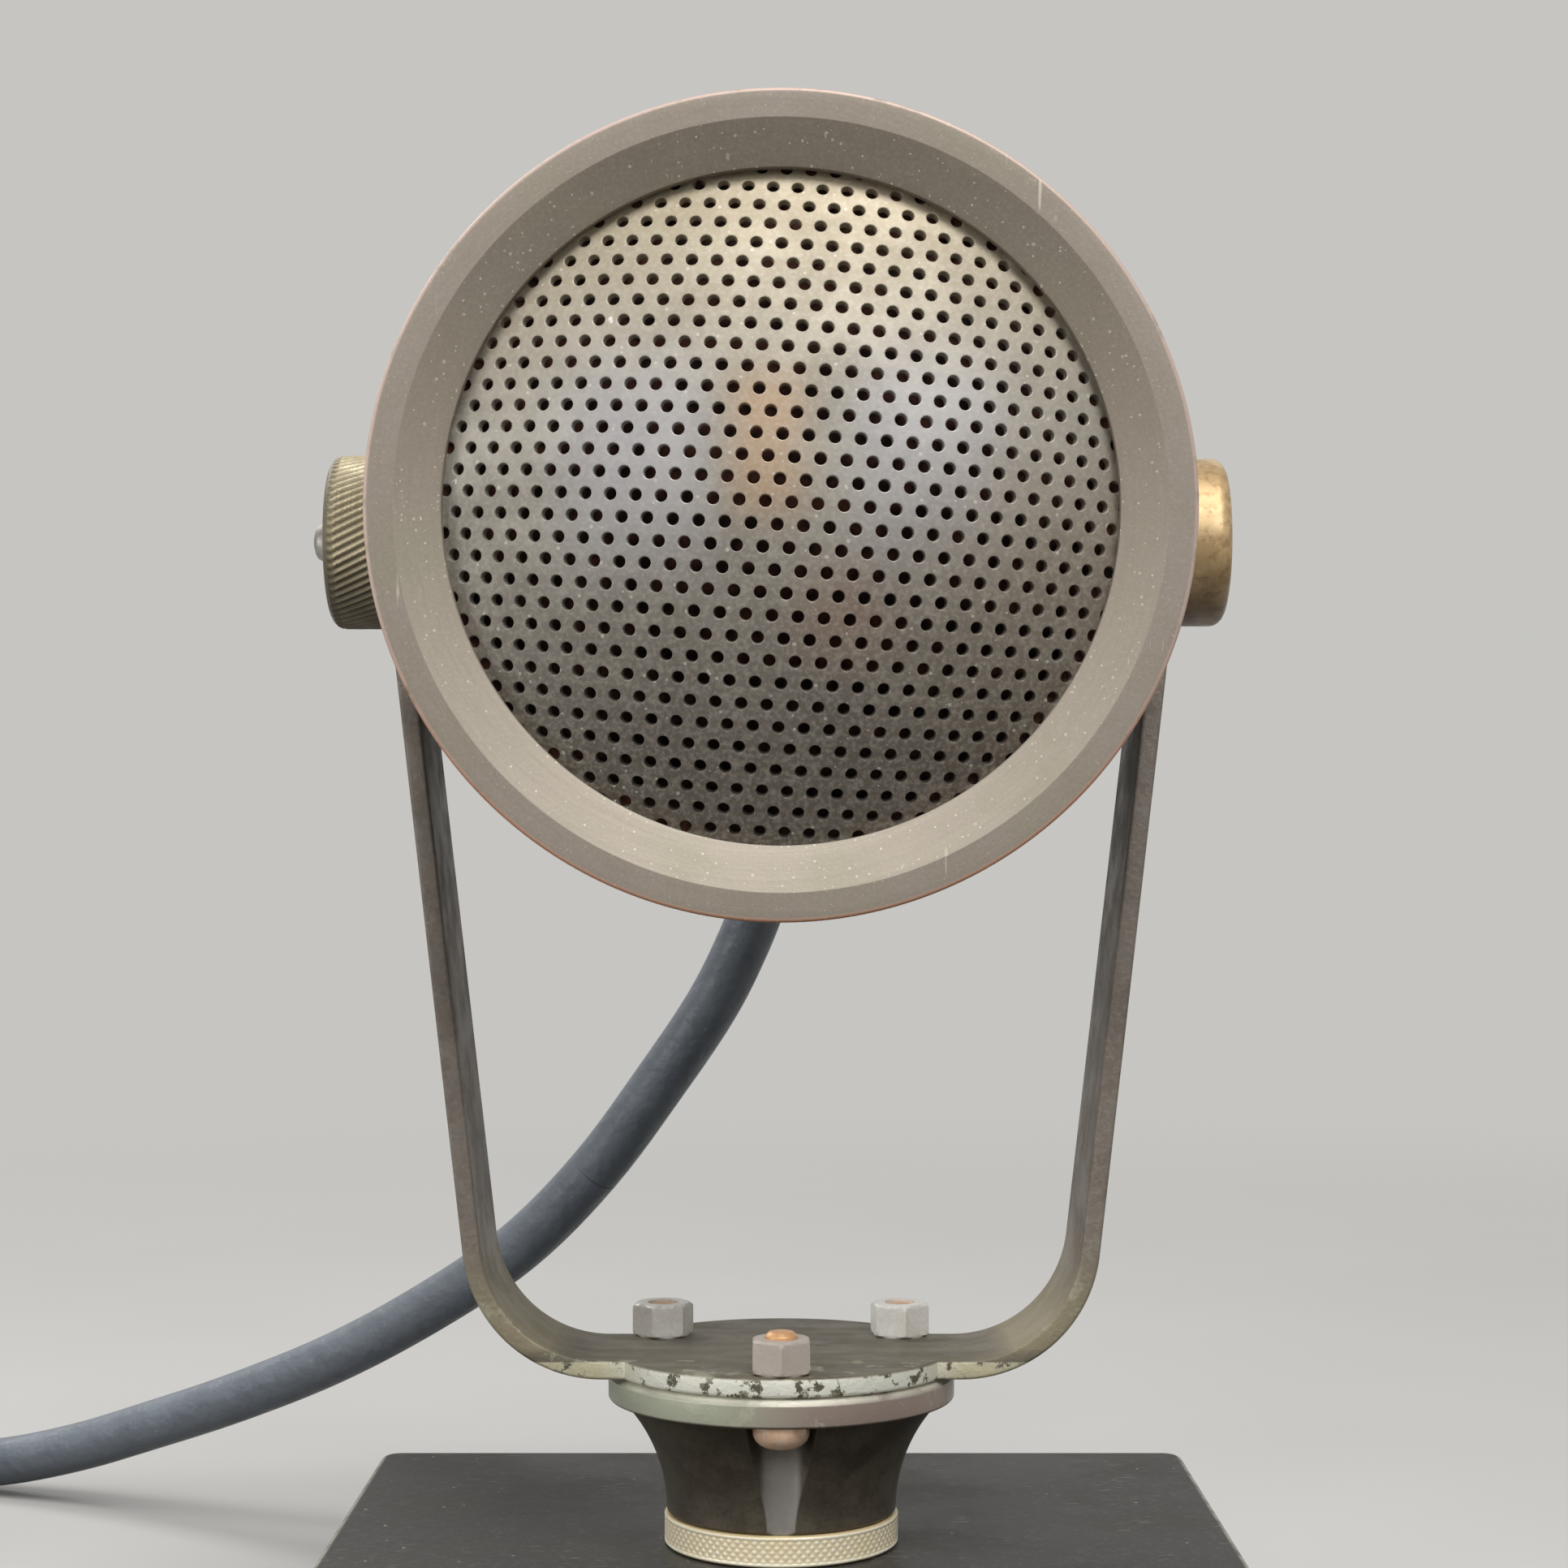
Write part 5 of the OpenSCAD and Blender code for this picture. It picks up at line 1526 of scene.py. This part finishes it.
class MIC_OT_cover(bpy.types.Operator):
    """Makes the rounded rear cover with the gland's boss and the holes of its four screws"""

    bl_idname = "mic.cover"
    bl_label = "Rear cover"

    def execute(self, context):
        s = sizes(context)
        outer, wall = 24, 3
        inner = outer - wall
        out, deep = CASE_RADIUS - outer, CASE_BACK - outer
        turn = np.linspace(0, math.pi / 2, 31)
        inside = [(out + inner * math.cos(t), deep + inner * math.sin(t)) for t in turn[::-3]]
        outside = [(out + outer * math.cos(t), deep + outer * math.sin(t)) for t in turn]
        edge = [(CASE_RADIUS - wall, COVER_FRONT), (CASE_RADIUS, COVER_FRONT, 0.3)]
        line = [(0, CASE_BACK - wall), *inside, *edge, *outside, (0, CASE_BACK)]
        shell = revolved(s.axes["head"], line, 320)
        boss_radius, boss_end = 8.5, 9.5
        boss = [(0, -30), (boss_radius, -30), (boss_radius, boss_end, 0.5), (0, boss_end)]
        boss = revolved(s.axes["gland"], boss, 96)
        # the boss starts in the middle of the cover's wall
        along = s.axes["gland"][1]
        short = np.maximum(0, CASE_BACK - wall / 2 - boss[0][:, 1:2])
        boss = boss[0] + short / along[1] * along, boss[1]
        bore = [(0, -20), (GLAND_THREAD, -20), (GLAND_THREAD, 12), (0, 12)]
        bore = revolved(s.axes["gland"], bore, 96)
        # four holes for the screws: their thread's and their heads' radius, the heads' seat and their place
        thread, head, seat, behind = 1.35, 2.4, 42.8, 17
        hole = [(0, 38), (thread, 38), (thread, seat), (head, seat), (head, 48), (0, 48)]
        holes = []
        for a in np.radians([45, 135, 225, 315]):
            axis = axis_frame((0, behind, s.pivot_z), (math.sin(a), 0, math.cos(a)), (0, 1, 0))
            holes.append(revolved(axis, hole, 48))
        cover = made("rounded_rear_cover", shell, "black_case", "head", ["rear_cover"])
        carve(cover, [("UNION", boss), ("DIFFERENCE", bore), ("DIFFERENCE", joined(holes))], 30)
        return {"FINISHED"}


class MIC_PT_panel(bpy.types.Panel):
    """Lists the pieces of the microphone and their settings"""

    bl_idname = "MIC_PT_panel"
    bl_label = "Studio microphone"
    bl_space_type = "VIEW_3D"
    bl_region_type = "UI"
    bl_category = "Microphone"

    def draw(self, context):
        for operator in OPERATORS:
            self.layout.operator(operator.bl_idname)
        for name in GROUPS:
            group = getattr(context.scene, name)
            box = self.layout.box()
            box.label(text=name.removeprefix("mic_").title())
            for key in group.__annotations__:
                box.prop(group, key)


GROUPS = {
    "mic_stand": StandSettings,
    "mic_head": HeadSettings,
    "mic_cable": CableSettings,
    "mic_stage": StageSettings,
}

# In the order in which they run
OPERATORS = [
    MIC_OT_stage,
    MIC_OT_finishes,
    MIC_OT_connector,
    MIC_OT_cable,
    MIC_OT_block,
    MIC_OT_socket,
    MIC_OT_yoke,
    MIC_OT_knobs,
    MIC_OT_front_ring,
    MIC_OT_grille,
    MIC_OT_gland,
    MIC_OT_cover,
]


def register():
    """Adds the settings, the operators and the panel."""
    for name, group in GROUPS.items():
        bpy.utils.register_class(group)
        setattr(bpy.types.Scene, name, PointerProperty(type=group))
    for operator in OPERATORS:
        bpy.utils.register_class(operator)
    bpy.utils.register_class(MIC_PT_panel)


def unregister():
    """Takes them out again."""
    bpy.utils.unregister_class(MIC_PT_panel)
    for operator in reversed(OPERATORS):
        bpy.utils.unregister_class(operator)
    for name, group in GROUPS.items():
        delattr(bpy.types.Scene, name)
        bpy.utils.unregister_class(group)


def main():
    register()
    for operator in OPERATORS:
        group, name = operator.bl_idname.split(".")
        result = getattr(getattr(bpy.ops, group), name)()
        if result != {"FINISHED"}:
            raise RuntimeError(f"{operator.bl_idname} did not finish")


if __name__ == "__main__":
    main()
